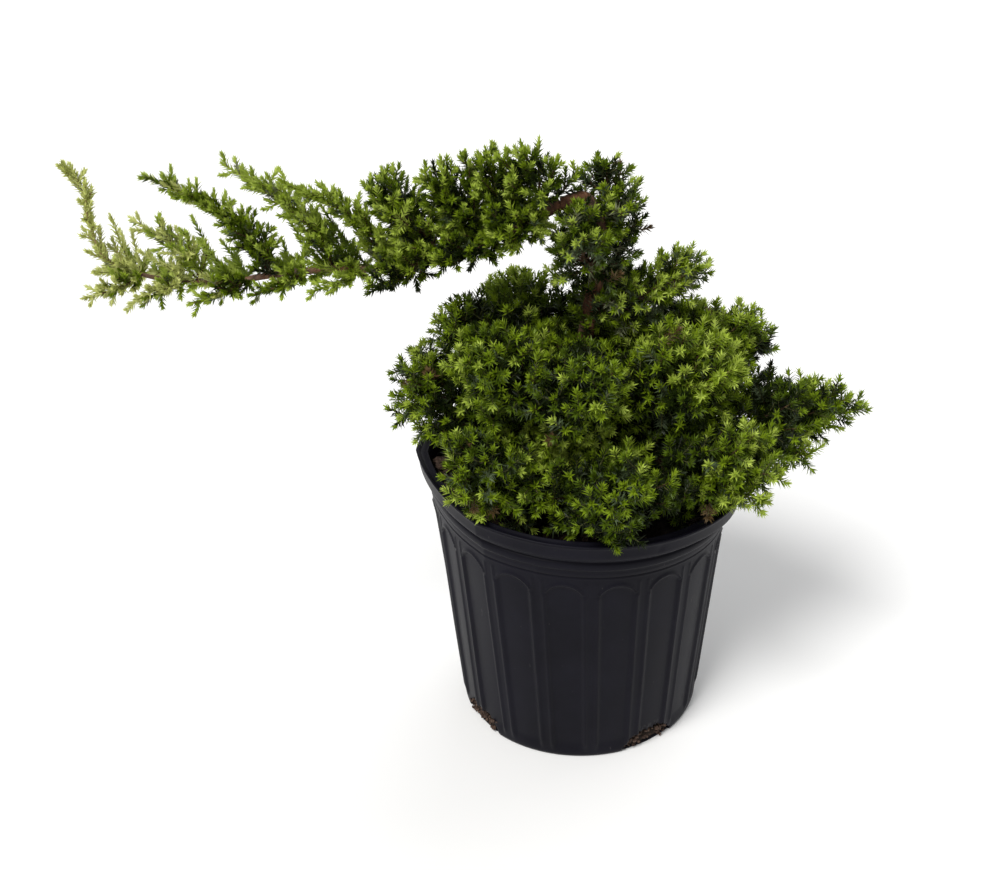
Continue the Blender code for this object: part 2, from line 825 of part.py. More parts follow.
def outward(bearing):
    """Level unit vector at a bearing in degrees from +X."""
    return Vector((math.cos(math.radians(bearing)), math.sin(math.radians(bearing)), 0.0))


def bend(start, heading, end, count):
    """A curve that leaves start along heading and sweeps to end."""
    pull = start + heading * (end - start).length * BEND_PULL
    path = []
    for index in range(count):
        t = index / (count - 1)
        path.append((1 - t) ** 2 * start + 2 * t * (1 - t) * pull + t ** 2 * end)
    return path


def reach_out(trunk, height, out, distance, end_height, count):
    """A curve from the trunk's side at a height to a place further out."""
    foot, radius = trunk.at_height(height)
    start = foot + out * (radius + TRUNK_SEAT)
    end = foot + out * distance
    end.z = end_height
    return bend(start, out, end, count)


def plan_plant():
    """Lay out the trunk, leader, boughs and the stem of every mass."""
    plant = Plant()
    trunk_path = smooth_path(TRUNK_PATH, 2)
    trunk = Limb(trunk_path, taper(TRUNK_RADIUS, TRUNK_TOP_RADIUS, len(trunk_path)))
    leader_path = smooth_path(LEADER_PATH, 2)
    leader = Limb(leader_path, taper(LEADER_RADIUS, LEADER_TIP_RADIUS, len(leader_path)))
    split = round(LEADER_SPLIT * (len(leader_path) - 1))
    inner = leader.section(0, split)
    outer = leader.section(split, len(leader_path) - 1)
    over = (leader_path[1] - trunk_path[-2]).normalized()
    trunk.square_tip(over)
    inner.square_root(over)
    across = (leader_path[split + 1] - leader_path[split - 1]).normalized()
    inner.square_tip(across)
    outer.square_root(across)
    named = {"trunk": trunk, "leader_inner": inner, "leader_outer": outer}
    for name, bearing, height, distance, end_height, width in LOW_BOUGHS:
        out = outward(bearing)
        whole = reach_out(trunk, height, out, distance, end_height, BOUGH_STEPS + 1)
        cut = round(BOUGH_SHARE * BOUGH_STEPS)
        bough = Limb(whole[:cut + 1], taper(BOUGH_RADIUS, BOUGH_TIP_RADIUS, cut + 1))
        step = (whole[cut + 1] - whole[cut - 1]).normalized()
        bough.square_tip(step)
        named["bough_" + name] = bough
        plant.add_mass("mound_" + name, whole[cut::BOUGH_STEPS // 4], step, STEM_RADIUS, width,
                       MOUND_SPRAYS, True, "needles")
    for name, bearing, height, distance, end_height, width in TRUNK_MASSES:
        out = outward(bearing)
        stem = reach_out(trunk, height, out, distance, end_height, STEM_POINTS)
        sprays = MOUND_SPRAYS if name.startswith("upper") else COLUMN_SPRAYS
        plant.add_mass(name, stem, out, STEM_RADIUS, width, sprays, True, "needles")
    plant.limbs = [limb for limb in named.values() if limb is not outer] + [outer]
    plan_leader_masses(plant, leader)
    return plant, named


def plan_leader_masses(plant, leader):
    """Stems that rise from the leader's back, stand out of its sides and end its tip."""
    for index, (share, rise) in enumerate(zip(TOP_STATIONS, TOP_RISE)):
        centre, along, radius = leader.at(share)
        sway = 1.0 if index % 2 else -1.0
        heading = Vector((TOP_HEADING[0], TOP_HEADING[1] * sway, TOP_HEADING[2])).normalized()
        up = (Vector((0.0, 0.0, 1.0)) - along * along.z).normalized()
        start = centre + up * (radius + 0.5 * GAP)
        width = INNER_WIDTH if share < DENSE_TO else OUTER_WIDTH
        end = start + heading * (rise - TOP_SHORT * width)
        dense = share < DENSE_TO
        sprays = INNER_SPRAYS if dense else OUTER_SPRAYS
        plant.add_mass(f"plume_{index + 1}", bend(start, up, end, STEM_POINTS), up,
                       SIDE_STEM * radius, width, sprays, dense, "needles")
    for index, share in enumerate(SIDE_STATIONS):
        for side in (-1.0, 1.0):
            centre, along, radius = leader.at(share)
            heading = Vector((SIDE_HEADING[0], SIDE_HEADING[1] * side, SIDE_HEADING[2]))
            out = Vector((0.0, side, 0.0))
            out = (out - along * along.dot(out)).normalized()
            start = centre + out * (radius + 0.5 * GAP)
            end = start + heading.normalized() * SIDE_REACH
            where = "front" if side < 0.0 else "back"
            width = SIDE_SHARE * (INNER_WIDTH if share < DENSE_TO else OUTER_WIDTH)
            plant.add_mass(f"side_{where}_{index + 1}", bend(start, out, end, STEM_POINTS), out,
                           SIDE_STEM * radius, width, SIDE_SPRAYS, False, "needles")
    stem = [Vector(point) for point in TIP_PATH]
    onward = (stem[1] - leader.path[-2]).normalized()
    plant.limbs[-1].square_tip(onward)
    plant.add_mass("leader_tip", stem, onward, LEADER_TIP_RADIUS, TIP_WIDTH, TIP_SPRAYS, False,
                   "pale_needles")


def make_limbs(named, collection):
    """The trunk, the two lengths of leader and the low boughs."""
    for name, limb in named.items():
        sides = BOUGH_SIDES
        if name == "trunk":
            sides = TRUNK_SIDES
        if name.startswith("leader"):
            sides = LEADER_SIDES
        item = make_limb(name, limb.path, limb.radii, sides, collection)
        if name == "trunk":
            flare_trunk(item.data)


def main():
    clear_scene()
    collection = make_collection("potted_juniper")
    cutters = make_collection("cutters")
    make_pot(collection, cutters)
    make_soil(collection)
    plant, named = plan_plant()
    make_limbs(named, collection)
    for index, mass in enumerate(plant.masses):
        make_mass(plant, mass, FIRST_SEED + index, collection)


main()
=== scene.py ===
"""Looks of a garden juniper trained as a half-cascade bonsai in a ribbed nursery pot.

The frame gives the solids. Here the pot, soil and bark get fine meshes, and every mass of
needles is grown again by the source's rule: golden-angle twigs along one stem, kept to the
space that lies nearer to its own stem than to another's, carried on to shoots and needles.
Metres, +Z up, as in the frame.
"""
import math
from dataclasses import dataclass

import bmesh
import bpy
import numpy as np
from mathutils import Matrix, Vector, noise


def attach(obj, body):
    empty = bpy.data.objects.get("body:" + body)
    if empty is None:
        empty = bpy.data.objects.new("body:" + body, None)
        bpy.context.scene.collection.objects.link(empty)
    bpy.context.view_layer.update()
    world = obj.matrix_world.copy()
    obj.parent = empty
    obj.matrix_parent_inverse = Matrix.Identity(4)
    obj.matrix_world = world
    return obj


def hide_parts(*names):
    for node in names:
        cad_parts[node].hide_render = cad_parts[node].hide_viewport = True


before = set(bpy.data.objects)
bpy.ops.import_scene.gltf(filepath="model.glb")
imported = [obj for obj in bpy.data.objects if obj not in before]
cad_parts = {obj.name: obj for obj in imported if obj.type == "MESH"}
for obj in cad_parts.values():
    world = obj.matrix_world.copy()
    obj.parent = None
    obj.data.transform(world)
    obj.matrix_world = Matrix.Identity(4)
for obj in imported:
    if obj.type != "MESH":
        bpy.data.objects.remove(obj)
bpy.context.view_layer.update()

UP = np.array((0.0, 0.0, 1.0))

# Camera: the photograph's, fitted to the pot's rim and foot
FRAME_WIDTH = 1000
LENS_PIXELS = 1363.0
EYE = (-0.053, -0.835, 0.669)
PITCH = math.radians(28.4)
ROLL = math.radians(-2.47)

WORLD_STRENGTH = 0.46
FLOOR_REACH = 6.0

# Pot, its bearings in degrees from the front (-Y) towards the right (+X)
POT_HEIGHT = 0.195
FOOT_RADIUS = 0.0875
NECK_RADIUS = 0.104
NECK_HEIGHT = 0.166
LIP_RADIUS = 0.1130
LIP_WIDTH = 0.0085
LIP_GROOVE = 0.0022
POT_WALL = 0.0018
FLUTES = 18
FLUTE_TURN = -8.8
FLUTE_TOP = 0.1590
FLUTE_DEPTH = 0.0021
FLUTE_EDGE = 7.6
FLUTE_COLUMNS = 32
ARCH_RISE = 0.0138
EDGE_WIDTH = 0.0030
CREST = 0.0010
CREST_WIDTH = 0.0013
CREST_ABOVE = 0.003
FLUTE_FOOT = 0.004
FLUTE_FADE = 0.010
RIM_LEAN = 0.09
DENT_MIDDLE = -67.0
DENT_HALF = 27.0
DENT_SHARE = 0.46
BENT_RIM = 0.0032
BENT_MIDDLE = 84.0
BENT_HALF = 34.0
BENT_FADE = 0.02
DRAIN_HOLES = 4
DRAIN_BEARING = 30.0
DRAIN_WIDTH = 0.044
DRAIN_RISE = 0.0150
DRAIN_FLOOR = 0.003
DRAIN_RAGGED = 0.002
DRAIN_CROWN_RAGGED = 0.0026
FOOT_EDGE = 0.0065
RIPPLE = 0.0004
RIPPLE_FADE = 0.03
DIMPLE_BEARING = 25.0
DIMPLE_HEIGHT = 0.1885
DIMPLE_DEPTH = 0.0007
DIMPLE_WIDTH = 0.0022
DIMPLE_BELOW = 0.1925
DEGREE_ON_COLLAR = 0.0018

# Rows of the wall: from and to which height, and how far apart
WALL_ROWS = ((0.0032, 0.0160, 0.0011), (0.0200, 0.143, 0.0055), (0.1440, 0.1640, 0.0009))

# Collar and the lip's outside: how far past the neck's radius, and the height
COLLAR = (
    (0.0002, 0.1648), (-0.0006, 0.1655), (0.0003, 0.1662), (0.0003, 0.1690), (0.0003, 0.1707),
    (0.0008, 0.1716), (0.0019, 0.1722), (0.0022, 0.1732), (0.0022, 0.1765), (0.0016, 0.1774),
    (0.0008, 0.1781), (0.0010, 0.1788), (0.0026, 0.1795), (0.0031, 0.1806), (0.0034, 0.1818),
    (0.0046, 0.1824), (0.0062, 0.1830), (0.0069, 0.1840), (0.0071, 0.1860), (0.0074, 0.1885),
    (0.0077, 0.1910), (0.0081, 0.1932),
)

# Soil; its flank in rows from a height to another, and how many
SOIL_TOP = 0.165
SOIL_RINGS = 46
SOIL_SIDES = 160
SOIL_FLANK = ((0.155, 0.020, 12), (0.014, 0.0028, 9))
SOIL_GAP = 0.0003
SOIL_ROUGH = 0.0006
SOIL_LUMP = 0.0016
SOIL_SUNK = 0.0012
SOIL_CHIPS = 380
CHIP_REACH = 0.094
CHIP_SIZE = ((0.003, 0.011), (0.002, 0.005), (0.0008, 0.0022))
CHIP_TILT = 0.25
CHIP_PULL = (0.6, 1.1)
CHIP_SETTLE = (-0.0005, 0.0012)
CRUMBS = 300
CRUMB_SPREAD = 13.0
CRUMB_SIZE = ((0.0010, 0.0034), (0.0008, 0.0026), (0.0006, 0.0020))
CRUMB_HEIGHTS = (0.0012, 0.0125)
CRUMB_DEPTHS = (0.0006, 0.0036)
CRUMB_FLOOR = 0.0026
HEAP_CHIPS = 170
HEAP_CHIP_SIZE = ((0.004, 0.011), (0.002, 0.006))
HEAP_CHIP_THICKNESS = 0.002
HEAP_SETTLE = (-0.0010, 0.0010)
HEAP_BEARING = -91.0
HEAP_HALF = 15.0
HEAP_SPREAD = 9.0
HEAP_FOOT = 0.062
HEAP_CROWN = 0.095
HEAP_PAST = 0.004
HEAP_RISE = 0.032

# Trunk, leader and boughs, as in the source
TRUNK_PATH = (
    (0.005, 0.000, SOIL_TOP - 0.001), (0.006, 0.001, 0.200), (0.002, 0.003, 0.245),
    (0.008, 0.002, 0.292), (0.015, 0.000, 0.336), (0.017, -0.001, 0.366),
    (0.008, -0.002, 0.386), (-0.008, -0.002, 0.384),
)
TRUNK_RADIUS = 0.0066
TRUNK_TOP_RADIUS = 0.0044
FLARE = 0.0042
FLARE_HEIGHT = 0.009
FLARE_ROOTS = 5
FLARE_WAVE = 0.35
LEADER_PATH = (
    TRUNK_PATH[-1], (-0.034, -0.002, 0.371), (-0.064, -0.001, 0.358), (-0.114, 0.002, 0.344),
    (-0.152, 0.000, 0.346), (-0.190, -0.002, 0.345), (-0.228, 0.000, 0.340),
    (-0.268, 0.002, 0.343), (-0.290, 0.002, 0.350),
)
LEADER_RADIUS = 0.0040
LEADER_TIP_RADIUS = 0.0012
BEND_PULL = 0.45
PATH_STEPS = 16
BOUGH_RADIUS = 0.0034
BOUGH_TAPER = 0.3
BOUGH_SHARE = 0.25
STEM_RADII = (0.0020, 0.0006)
THIN_STEM_RADII = (0.0012, 0.0004)
STEM_POINTS = 9
SINK = 0.002
STEM_OVERLAP = 1.02

# Bark: sides round a limb and the height of its relief
TRUNK_BARK = (40, 0.0005)
LIMB_BARK = (24, 0.00025)

# Low boughs: name, bearing from +X, height on the trunk, where the mass's stem ends
# (distance from the trunk, height) and the reach of its twigs
LOW_BOUGHS = (
    ("front", -84.0, 0.196, 0.098, 0.220, 0.053),
    ("front_left", -132.0, 0.204, 0.096, 0.224, 0.052),
    ("left", 178.0, 0.214, 0.092, 0.246, 0.054),
    ("back_left", 131.0, 0.206, 0.078, 0.250, 0.052),
    ("back", 84.0, 0.198, 0.088, 0.236, 0.052),
    ("back_right", 40.0, 0.208, 0.102, 0.244, 0.052),
    ("right", -2.0, 0.212, 0.150, 0.222, 0.060),
    ("front_right", -40.0, 0.206, 0.108, 0.220, 0.054),
)

# Upper tier and column, whose stems leave the trunk, given in the same way
TRUNK_MASSES = (
    ("upper_front", -95.0, 0.240, 0.060, 0.270, 0.054),
    ("upper_front_left", -138.0, 0.250, 0.068, 0.278, 0.049),
    ("upper_front_right", -38.0, 0.248, 0.080, 0.272, 0.050),
    ("upper_right", 8.0, 0.262, 0.099, 0.263, 0.045),
    ("upper_back_right", 62.0, 0.264, 0.064, 0.280, 0.042),
    ("upper_back_left", 128.0, 0.260, 0.062, 0.282, 0.040),
    ("upper_left", 186.0, 0.262, 0.066, 0.288, 0.042),
    ("column_right", 4.0, 0.310, 0.051, 0.322, 0.036),
    ("column_back", 96.0, 0.334, 0.030, 0.358, 0.034),
    ("column_front", -125.0, 0.342, 0.024, 0.370, 0.030),
    ("column_top", 8.0, 0.354, 0.004, 0.390, 0.028),
)

# Leader's masses: stations as shares of the leader's length, with each one's rise
TOP_STATIONS = (0.03, 0.12, 0.21, 0.31, 0.40, 0.52, 0.65, 0.80)
TOP_RISE = (0.030, 0.037, 0.043, 0.048, 0.078, 0.082, 0.088, 0.046)
TOP_SHORT = 0.35
TOP_HEADING = (-0.62, 0.12, 0.72)
SIDE_STATIONS = (0.07, 0.21, 0.33, 0.46, 0.58, 0.71, 0.84, 0.95)
SIDE_REACH = 0.027
SIDE_SHARE = 0.84
SIDE_HEADING = (-0.62, 0.74, -0.10)
DENSE_TO = 0.36
INNER_WIDTH = 0.033
OUTER_WIDTH = 0.026
TIP_PATH = (
    LEADER_PATH[-1], (-0.304, 0.002, 0.359), (-0.309, 0.001, 0.380), (-0.3075, 0.000, 0.400),
    (-0.313, -0.001, 0.414),
)
TIP_WIDTH = 0.017

# Growth: spreads and leans in degrees, WHORL_SPREAD in radians, lifts as shares of a length
GOLDEN_ANGLE = math.radians(137.508)
SWAY = 8.0
LIFT = (0.10, 0.28)
TWIG_LENGTHS = (0.72, 1.03)
SHOOT_SPREAD = (34.0, 58.0)
SHOOT_LIFT = (0.05, 0.35)
SHOOT_PLACE = (0.2, 0.8)
SHOOT_TAPER = (1.15, 0.45)
SHOOTS_FROM = 0.2
TWIG_ROOM = 0.7
SHOOT_ROOM = 0.5
SHORTEST = 0.005
LEAST_GROWTH = 0.25
CLEAR_FROM = 0.5
SAMPLES = 9
WHORL_FIRST = 0.0004
WHORL_ROOM = 0.0006
WHORL_STEP = 0.0015
TIP_WHORL_STEP = 0.0008
TIP_WHORLS = 5
YOUNG_LENGTH = 0.0046
LEAN_SPREAD = 7.0
WHORL_SPREAD = 0.16
TIP_YOUTH = 0.2
YOUNG_SHORTER = 0.35
YOUNG_SLIMMER = 0.15
NEEDLE_LENGTHS = (0.82, 1.1)
NEEDLE_WIDTHS = (0.9, 1.1)
NEEDLE_FOLD = 0.28
NEEDLE_WIDEST = 0.36
OVERREACH = 0.003
CLUMP_SCALE = 30.0
CLUMP_LEAST = 0.52
CLUMP_MIDDLE = 0.90
DOWNWARD = {"inner": 1.3, "outer": 0.6}
FULL_BELOW = -0.05
LEAST_DOWN = 0.30
LIMB_DOWN = 1.3
LIMB_UP = 0.7
LIMB_SHOOT_STEP = 0.0018
LIMB_SHOOTS = {"trunk": (0.011, 0.022), "leader": (0.011, 0.029)}
LIMB_LEAN = (38.0, 66.0)
LIMB_SLACK = 0.012
BARE_PATCH = 0.22
BARE_SCALE = 60.0
BARE_TRUNK = ((0.0, 0.255), (0.322, 0.342), (0.377, 0.395))
LIMB_CLEAR = 0.0008
POT_CLEAR = 0.0015
NEIGHBOUR = 0.25
MOST_FACES = 180000
CHIP_SEED = 31
MASS_SEED = 500
LIMB_SEED = 700

# Twigs: radius at the root and the tip, sides and rings
TWIG_TUBE = (0.0008, 0.0004, 4, 5)
SHOOT_TUBE = (0.0005, 0.00025, 3, 3)


@dataclass
class Habit:
    """How one kind of mass grows; lengths of twigs are shares of the mass's width.

    Spreads and twigs run from the stem's root to its end, leans from old needles to young.
    """

    step: float
    spreads: tuple
    twigs: tuple
    shoot_step: float
    shoots: tuple
    bare: float
    leans: tuple
    needle: float
    width: float


HABITS = {
    "mound": Habit(0.0011, (88, 22), (1.0, 1.0), 0.0032, (0.011, 0.022), 0.4, (54, 30),
        0.0072, 0.0015),
    "column": Habit(0.0014, (86, 22), (1.0, 1.0), 0.0038, (0.010, 0.018), 0.3, (50, 26),
        0.0068, 0.0015),
    "inner": Habit(0.0014, (82, 24), (1.0, 0.95), 0.0034, (0.009, 0.016), 0.2, (44, 22),
        0.0064, 0.0016),
    "outer": Habit(0.0023, (46, 18), (0.82, 0.42), 0.0044, (0.006, 0.011), 0.0, (38, 20),
        0.0062, 0.0017),
    "tip": Habit(0.0040, (42, 20), (1.0, 0.70), 0.0055, (0.005, 0.008), 0.0, (40, 20),
        0.0064, 0.0017),
}


def put_in_scene(name, data):
    """A new object of the scene."""
    item = bpy.data.objects.new(name, data)
    bpy.context.scene.collection.objects.link(item)
    return item


def add_piece(mesh, material, slot, *nodes):
    """Put a piece in the scene, riding on the plant's body and standing for CAD nodes."""
    item = put_in_scene(mesh.name, mesh)
    mesh.materials.append(material)
    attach(item, "root")
    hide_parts(*nodes)
    return item


def mesh_from(name, points, faces):
    """A mesh from arrays of points and of faces."""
    mesh = bpy.data.meshes.new(name)
    mesh.from_pydata(points.tolist(), [], faces.tolist())
    mesh.validate()
    return mesh


def tube_faces(rings, sides):
    """Quads that join each closed ring of points to the next."""
    corner = np.arange(rings * sides).reshape(rings, sides)
    after = np.roll(corner, -1, axis=1)
    return np.stack([corner[:-1], after[:-1], after[1:], corner[1:]], axis=-1).reshape(-1, 4)


# Materials

EVEN = (1.0, 1.0, 1.0)
BLACK = (0.0, 0.0, 0.0)
WHITE = (1.0, 1.0, 1.0)


class Shader:
    """A Principled material and its few procedural nodes."""

    def __init__(self, name, roughness, specular=0.5):
        self.material = bpy.data.materials.new(name)
        self.material.use_nodes = True
        self.tree = self.material.node_tree
        self.principled = self.tree.nodes["Principled BSDF"]
        self.principled.inputs["Roughness"].default_value = roughness
        self.principled.inputs["Specular IOR Level"].default_value = specular
        self.place = self.tree.nodes.new("ShaderNodeTexCoord").outputs["Object"]

    def feed(self, socket, value):
        """Join another node's output to the socket, or set its value."""
        if isinstance(value, bpy.types.NodeSocket):
            self.tree.links.new(value, socket)
        else:
            socket.default_value = value

    def node(self, kind, **inputs):
        """A new node with its inputs fed."""
        node = self.tree.nodes.new("ShaderNode" + kind)
        for name, value in inputs.items():
            self.feed(node.inputs[name.replace("_", " ")], value)
        return node

    def noise(self, scale, detail, stretch=EVEN, rough=0.5):
        """A noise pattern's factor, in object coordinates stretched along each axis."""
        place = self.node("Mapping", Vector=self.place, Scale=stretch).outputs["Vector"]
        pattern = self.node("TexNoise", Vector=place, Scale=scale, Detail=detail, Roughness=rough)
        return pattern.outputs["Fac"]

    def ramp(self, factor, stops):
        """Colours or greys chosen by a factor; stops are (place, colour)."""
        ramp = self.node("ValToRGB", Fac=factor)
        points = ramp.color_ramp.elements
        for index, (place, colour) in enumerate(stops):
            point = points[index] if index < 2 else points.new(place)
            point.position = place
            point.color = (*colour, 1.0)
        return ramp.outputs["Color"]

    def mix(self, factor, first, second):
        """Blend from one colour output to another by a factor output."""
        mix = self.node("Mix")
        mix.data_type = "RGBA"
        for name, value in (("Factor", factor), ("A", first), ("B", second)):
            self.feed(mix.inputs[name], value)
        return mix.outputs["Result"]

    def colour(self, value):
        """Set or feed the base colour."""
        self.feed(self.principled.inputs["Base Color"], value)

    def rough(self, factor, low, high):
        """Let roughness run from low to high with the factor."""
        span = self.node("MapRange", Value=factor, To_Min=low, To_Max=high)
        self.feed(self.principled.inputs["Roughness"], span.outputs["Result"])

    def bump(self, height, strength, distance):
        """Raise the surface by the height output."""
        bump = self.node("Bump", Height=height, Strength=strength, Distance=distance)
        self.feed(self.principled.inputs["Normal"], bump.outputs["Normal"])


def pot_material():
    """Near-black polyethylene, satin, with a faint mould grain, dust and small scuffs."""
    shader = Shader("pot_plastic", 0.42, 0.085)
    grime = shader.noise(22.0, 6.0, rough=0.6)
    scuffs = shader.noise(260.0, 3.0, stretch=(1.0, 1.0, 0.35), rough=0.7)
    body = shader.ramp(grime, ((0.30, (0.0036, 0.0034, 0.0062)), (0.75, (0.0074, 0.0070, 0.0120))))
    dust = shader.ramp(grime, ((0.0, (0.060, 0.055, 0.052)), (1.0, (0.045, 0.042, 0.045))))
    specks = shader.ramp(scuffs, ((0.70, BLACK), (0.78, WHITE)))
    shader.colour(shader.mix(specks, body, dust))
    shader.rough(grime, 0.36, 0.52)
    shader.bump(shader.noise(900.0, 2.0), 0.12, 0.0004)
    return shader.material


def grained(name, roughness, specular, grain, stops, bump):
    """A material whose colours and relief follow one grain."""
    shader = Shader(name, roughness, specular)
    pattern = shader.noise(*grain)
    shader.colour(shader.ramp(pattern, stops))
    shader.bump(pattern, *bump)
    return shader.material


def soil_material():
    """Damp potting mix: dark brown with lighter flecks of bark and fibre."""
    stops = ((0.30, (0.006, 0.004, 0.003)), (0.62, (0.026, 0.016, 0.010)),
             (0.80, (0.110, 0.070, 0.042)))
    return grained("potting_mix", 0.92, 0.25, (420.0, 8.0, EVEN, 0.7), stops, (0.9, 0.0012))


def chip_material():
    """Chips of conifer bark, red-brown with paler edges."""
    stops = ((0.25, (0.014, 0.008, 0.006)), (0.52, (0.070, 0.042, 0.030)),
             (0.78, (0.240, 0.165, 0.120)))
    grain = (160.0, 6.0, (1.0, 1.0, 3.0), 0.65)
    return grained("bark_chips", 0.85, 0.3, grain, stops, (0.8, 0.0010))


def twig_material(name, dark, light):
    """Young wood, from dark to light along a fine grain."""
    stops = ((0.35, dark), (0.68, light))
    return grained(name, 0.75, 0.3, (380.0, 4.0, EVEN, 0.6), stops, (0.6, 0.0003))


def bark_material():
    """Thin flaking bark: red-brown strips over darker cracks, greyed on their edges."""
    shader = Shader("juniper_bark", 0.86, 0.3)
    strips = shader.noise(150.0, 7.0, stretch=(1.0, 1.0, 0.22), rough=0.68)
    patches = shader.noise(45.0, 3.0)
    red = shader.ramp(strips, ((0.32, (0.020, 0.009, 0.006)), (0.50, (0.130, 0.055, 0.028)),
                               (0.72, (0.290, 0.150, 0.085))))
    grey = shader.ramp(strips, ((0.32, (0.030, 0.022, 0.018)), (0.60, (0.160, 0.115, 0.085)),
                                (0.80, (0.330, 0.265, 0.210))))
    where = shader.ramp(patches, ((0.42, BLACK), (0.66, WHITE)))
    shader.colour(shader.mix(where, red, grey))
    shader.bump(strips, 1.0, 0.0009)
    return shader.material


def needle_material(name, dark, light):
    """Waxy needles of one tint, shifting a little from sprig to sprig."""
    shader = Shader(name, 0.44, 0.23)
    drift = shader.noise(95.0, 3.0, rough=0.6)
    shader.colour(shader.ramp(drift, ((0.34, dark), (0.66, light))))
    return shader.material


# Pot


def smooth_step(value):
    """Ease from 0 to 1."""
    value = min(1.0, max(0.0, value))
    return value * value * (3.0 - 2.0 * value)


def turn_from(middle, bearing):
    """Degrees from one bearing to another, at most half a turn either way."""
    return (bearing - middle + 180.0) % 360.0 - 180.0


def wall_radius(z):
    """Outer radius of the pot's plain tapering wall at height z."""
    return FOOT_RADIUS + (NECK_RADIUS - FOOT_RADIUS) * z / NECK_HEIGHT


def dent_factor(bearing, z):
    """How far the pushed-in stretch of wall is drawn in, as a share of its radius."""
    off = turn_from(DENT_MIDDLE, bearing)
    if abs(off) >= DENT_HALF:
        return 1.0
    chord = math.cos(math.radians(DENT_HALF)) / math.cos(math.radians(off))
    return 1.0 - DENT_SHARE * (1.0 - chord) * z / POT_HEIGHT


def flute_outline(offset, z):
    """Half a flute's width, how far offset degrees is from its middle, its top's height there."""
    half = math.radians(FLUTE_EDGE) * wall_radius(z)
    across = abs(math.radians(offset)) * wall_radius(z)
    top = FLUTE_TOP
    if across < half:
        top -= ARCH_RISE * (1.0 - math.sqrt(1.0 - (across / half) ** 2))
    return half, across, top


def flute_depth(offset, z):
    """How deep the round-topped flute is sunk."""
    half, across, top = flute_outline(offset, z)
    if across >= half:
        return 0.0
    inside = min(half - across, 0.9 * (top - z))
    foot = smooth_step((z - FLUTE_FOOT) / FLUTE_FADE)
    return FLUTE_DEPTH * foot * smooth_step(inside / EDGE_WIDTH)


def rib_crest(offset, z):
    """The fine raised edge that runs round each flute."""
    if z > FLUTE_TOP + CREST_ABOVE:
        return 0.0
    half, across, top = flute_outline(offset, z)
    outside = math.hypot(max(0.0, across - half), max(0.0, z - top))
    crest = CREST * math.exp(-(outside / CREST_WIDTH) ** 2)
    return crest * smooth_step((z - FLUTE_FOOT) / FLUTE_FADE)


def pot_rows():
    """Profile of the outer skin from the floor's middle to inside the lip: radius, height."""
    foot, lip, inner = FOOT_RADIUS, LIP_RADIUS, LIP_RADIUS - LIP_WIDTH
    groove = POT_HEIGHT - LIP_GROOVE
    rows = [(0.0, 0.0), (0.5 * foot, 0.0), (foot - 0.012, 0.0), (foot - 0.006, 0.0),
            (foot - 0.0025, 0.0), (foot - 0.0008, 0.0006), (foot, 0.0020)]
    for low, high, step in WALL_ROWS:
        rows += [(wall_radius(height), height) for height in np.arange(low, high, step)]
    rows += [(NECK_RADIUS + past, height) for past, height in COLLAR]
    return rows + [
        (lip, 0.1941), (lip - 0.0002, 0.1947), (lip - 0.0011, 0.1950), (lip - 0.0019, 0.1946),
        (lip - 0.0030, groove), (lip - 0.5 * LIP_WIDTH, groove - 0.0003), (inner + 0.0018, groove),
        (inner + 0.0009, 0.1938), (inner + 0.0002, 0.1940), (inner - 0.0002, 0.1934),
        (inner - 0.0003, 0.1920), (inner - 0.0004, 0.1860), (inner - 0.0010, 0.1800),
    ]


def in_drain_hole(bearing, z, radius):
    """True inside one of the ragged openings round the foot."""
    if radius <= FOOT_RADIUS - DRAIN_FLOOR:
        return False
    for index in range(DRAIN_HOLES):
        off = turn_from(DRAIN_BEARING + 360.0 / DRAIN_HOLES * index, bearing)
        across = math.radians(off) * radius
        half = 0.5 * DRAIN_WIDTH + DRAIN_RAGGED * noise.noise(Vector((off * 0.9, z * 700.0, index)))
        ragged = DRAIN_CROWN_RAGGED * noise.noise(Vector((across * 420.0, index * 7.0, 0.0)))
        if abs(across) < half and z < DRAIN_RISE * (1.0 - (across / half) ** 4) + ragged:
            return True
    return False


def warp(radius, bearing, z):
    """Where a point of the pot goes once it is dented and its rim leans and bends out."""
    off = turn_from(BENT_MIDDLE, bearing)
    bent = BENT_RIM * math.exp(-(off / BENT_HALF) ** 2) * smooth_step((z - NECK_HEIGHT) / BENT_FADE)
    radius = radius * dent_factor(bearing, z) + bent
    angle = math.radians(bearing)
    place = Vector((math.sin(angle), -math.cos(angle), 0.0)) * radius
    place.z = z - RIM_LEAN * place.x * z / POT_HEIGHT - bent
    return place


def pot_point(radius, bearing, z, offset):
    """A point of the skin, sunk by its flute and raised by the crest at its edge."""
    if radius > FOOT_RADIUS - FOOT_EDGE:
        if z <= FLUTE_TOP:
            radius -= flute_depth(offset, z)
        radius += rib_crest(offset, z)
        ripple = noise.noise(Vector((bearing * 0.05, z * 14.0, 3.0)))
        radius += RIPPLE * ripple * min(1.0, z / RIPPLE_FADE)
        away = math.hypot((bearing - DIMPLE_BEARING) * DEGREE_ON_COLLAR, z - DIMPLE_HEIGHT)
        if z < DIMPLE_BELOW:
            radius -= DIMPLE_DEPTH * math.exp(-(away / DIMPLE_WIDTH) ** 2)
    return warp(radius, bearing, z)


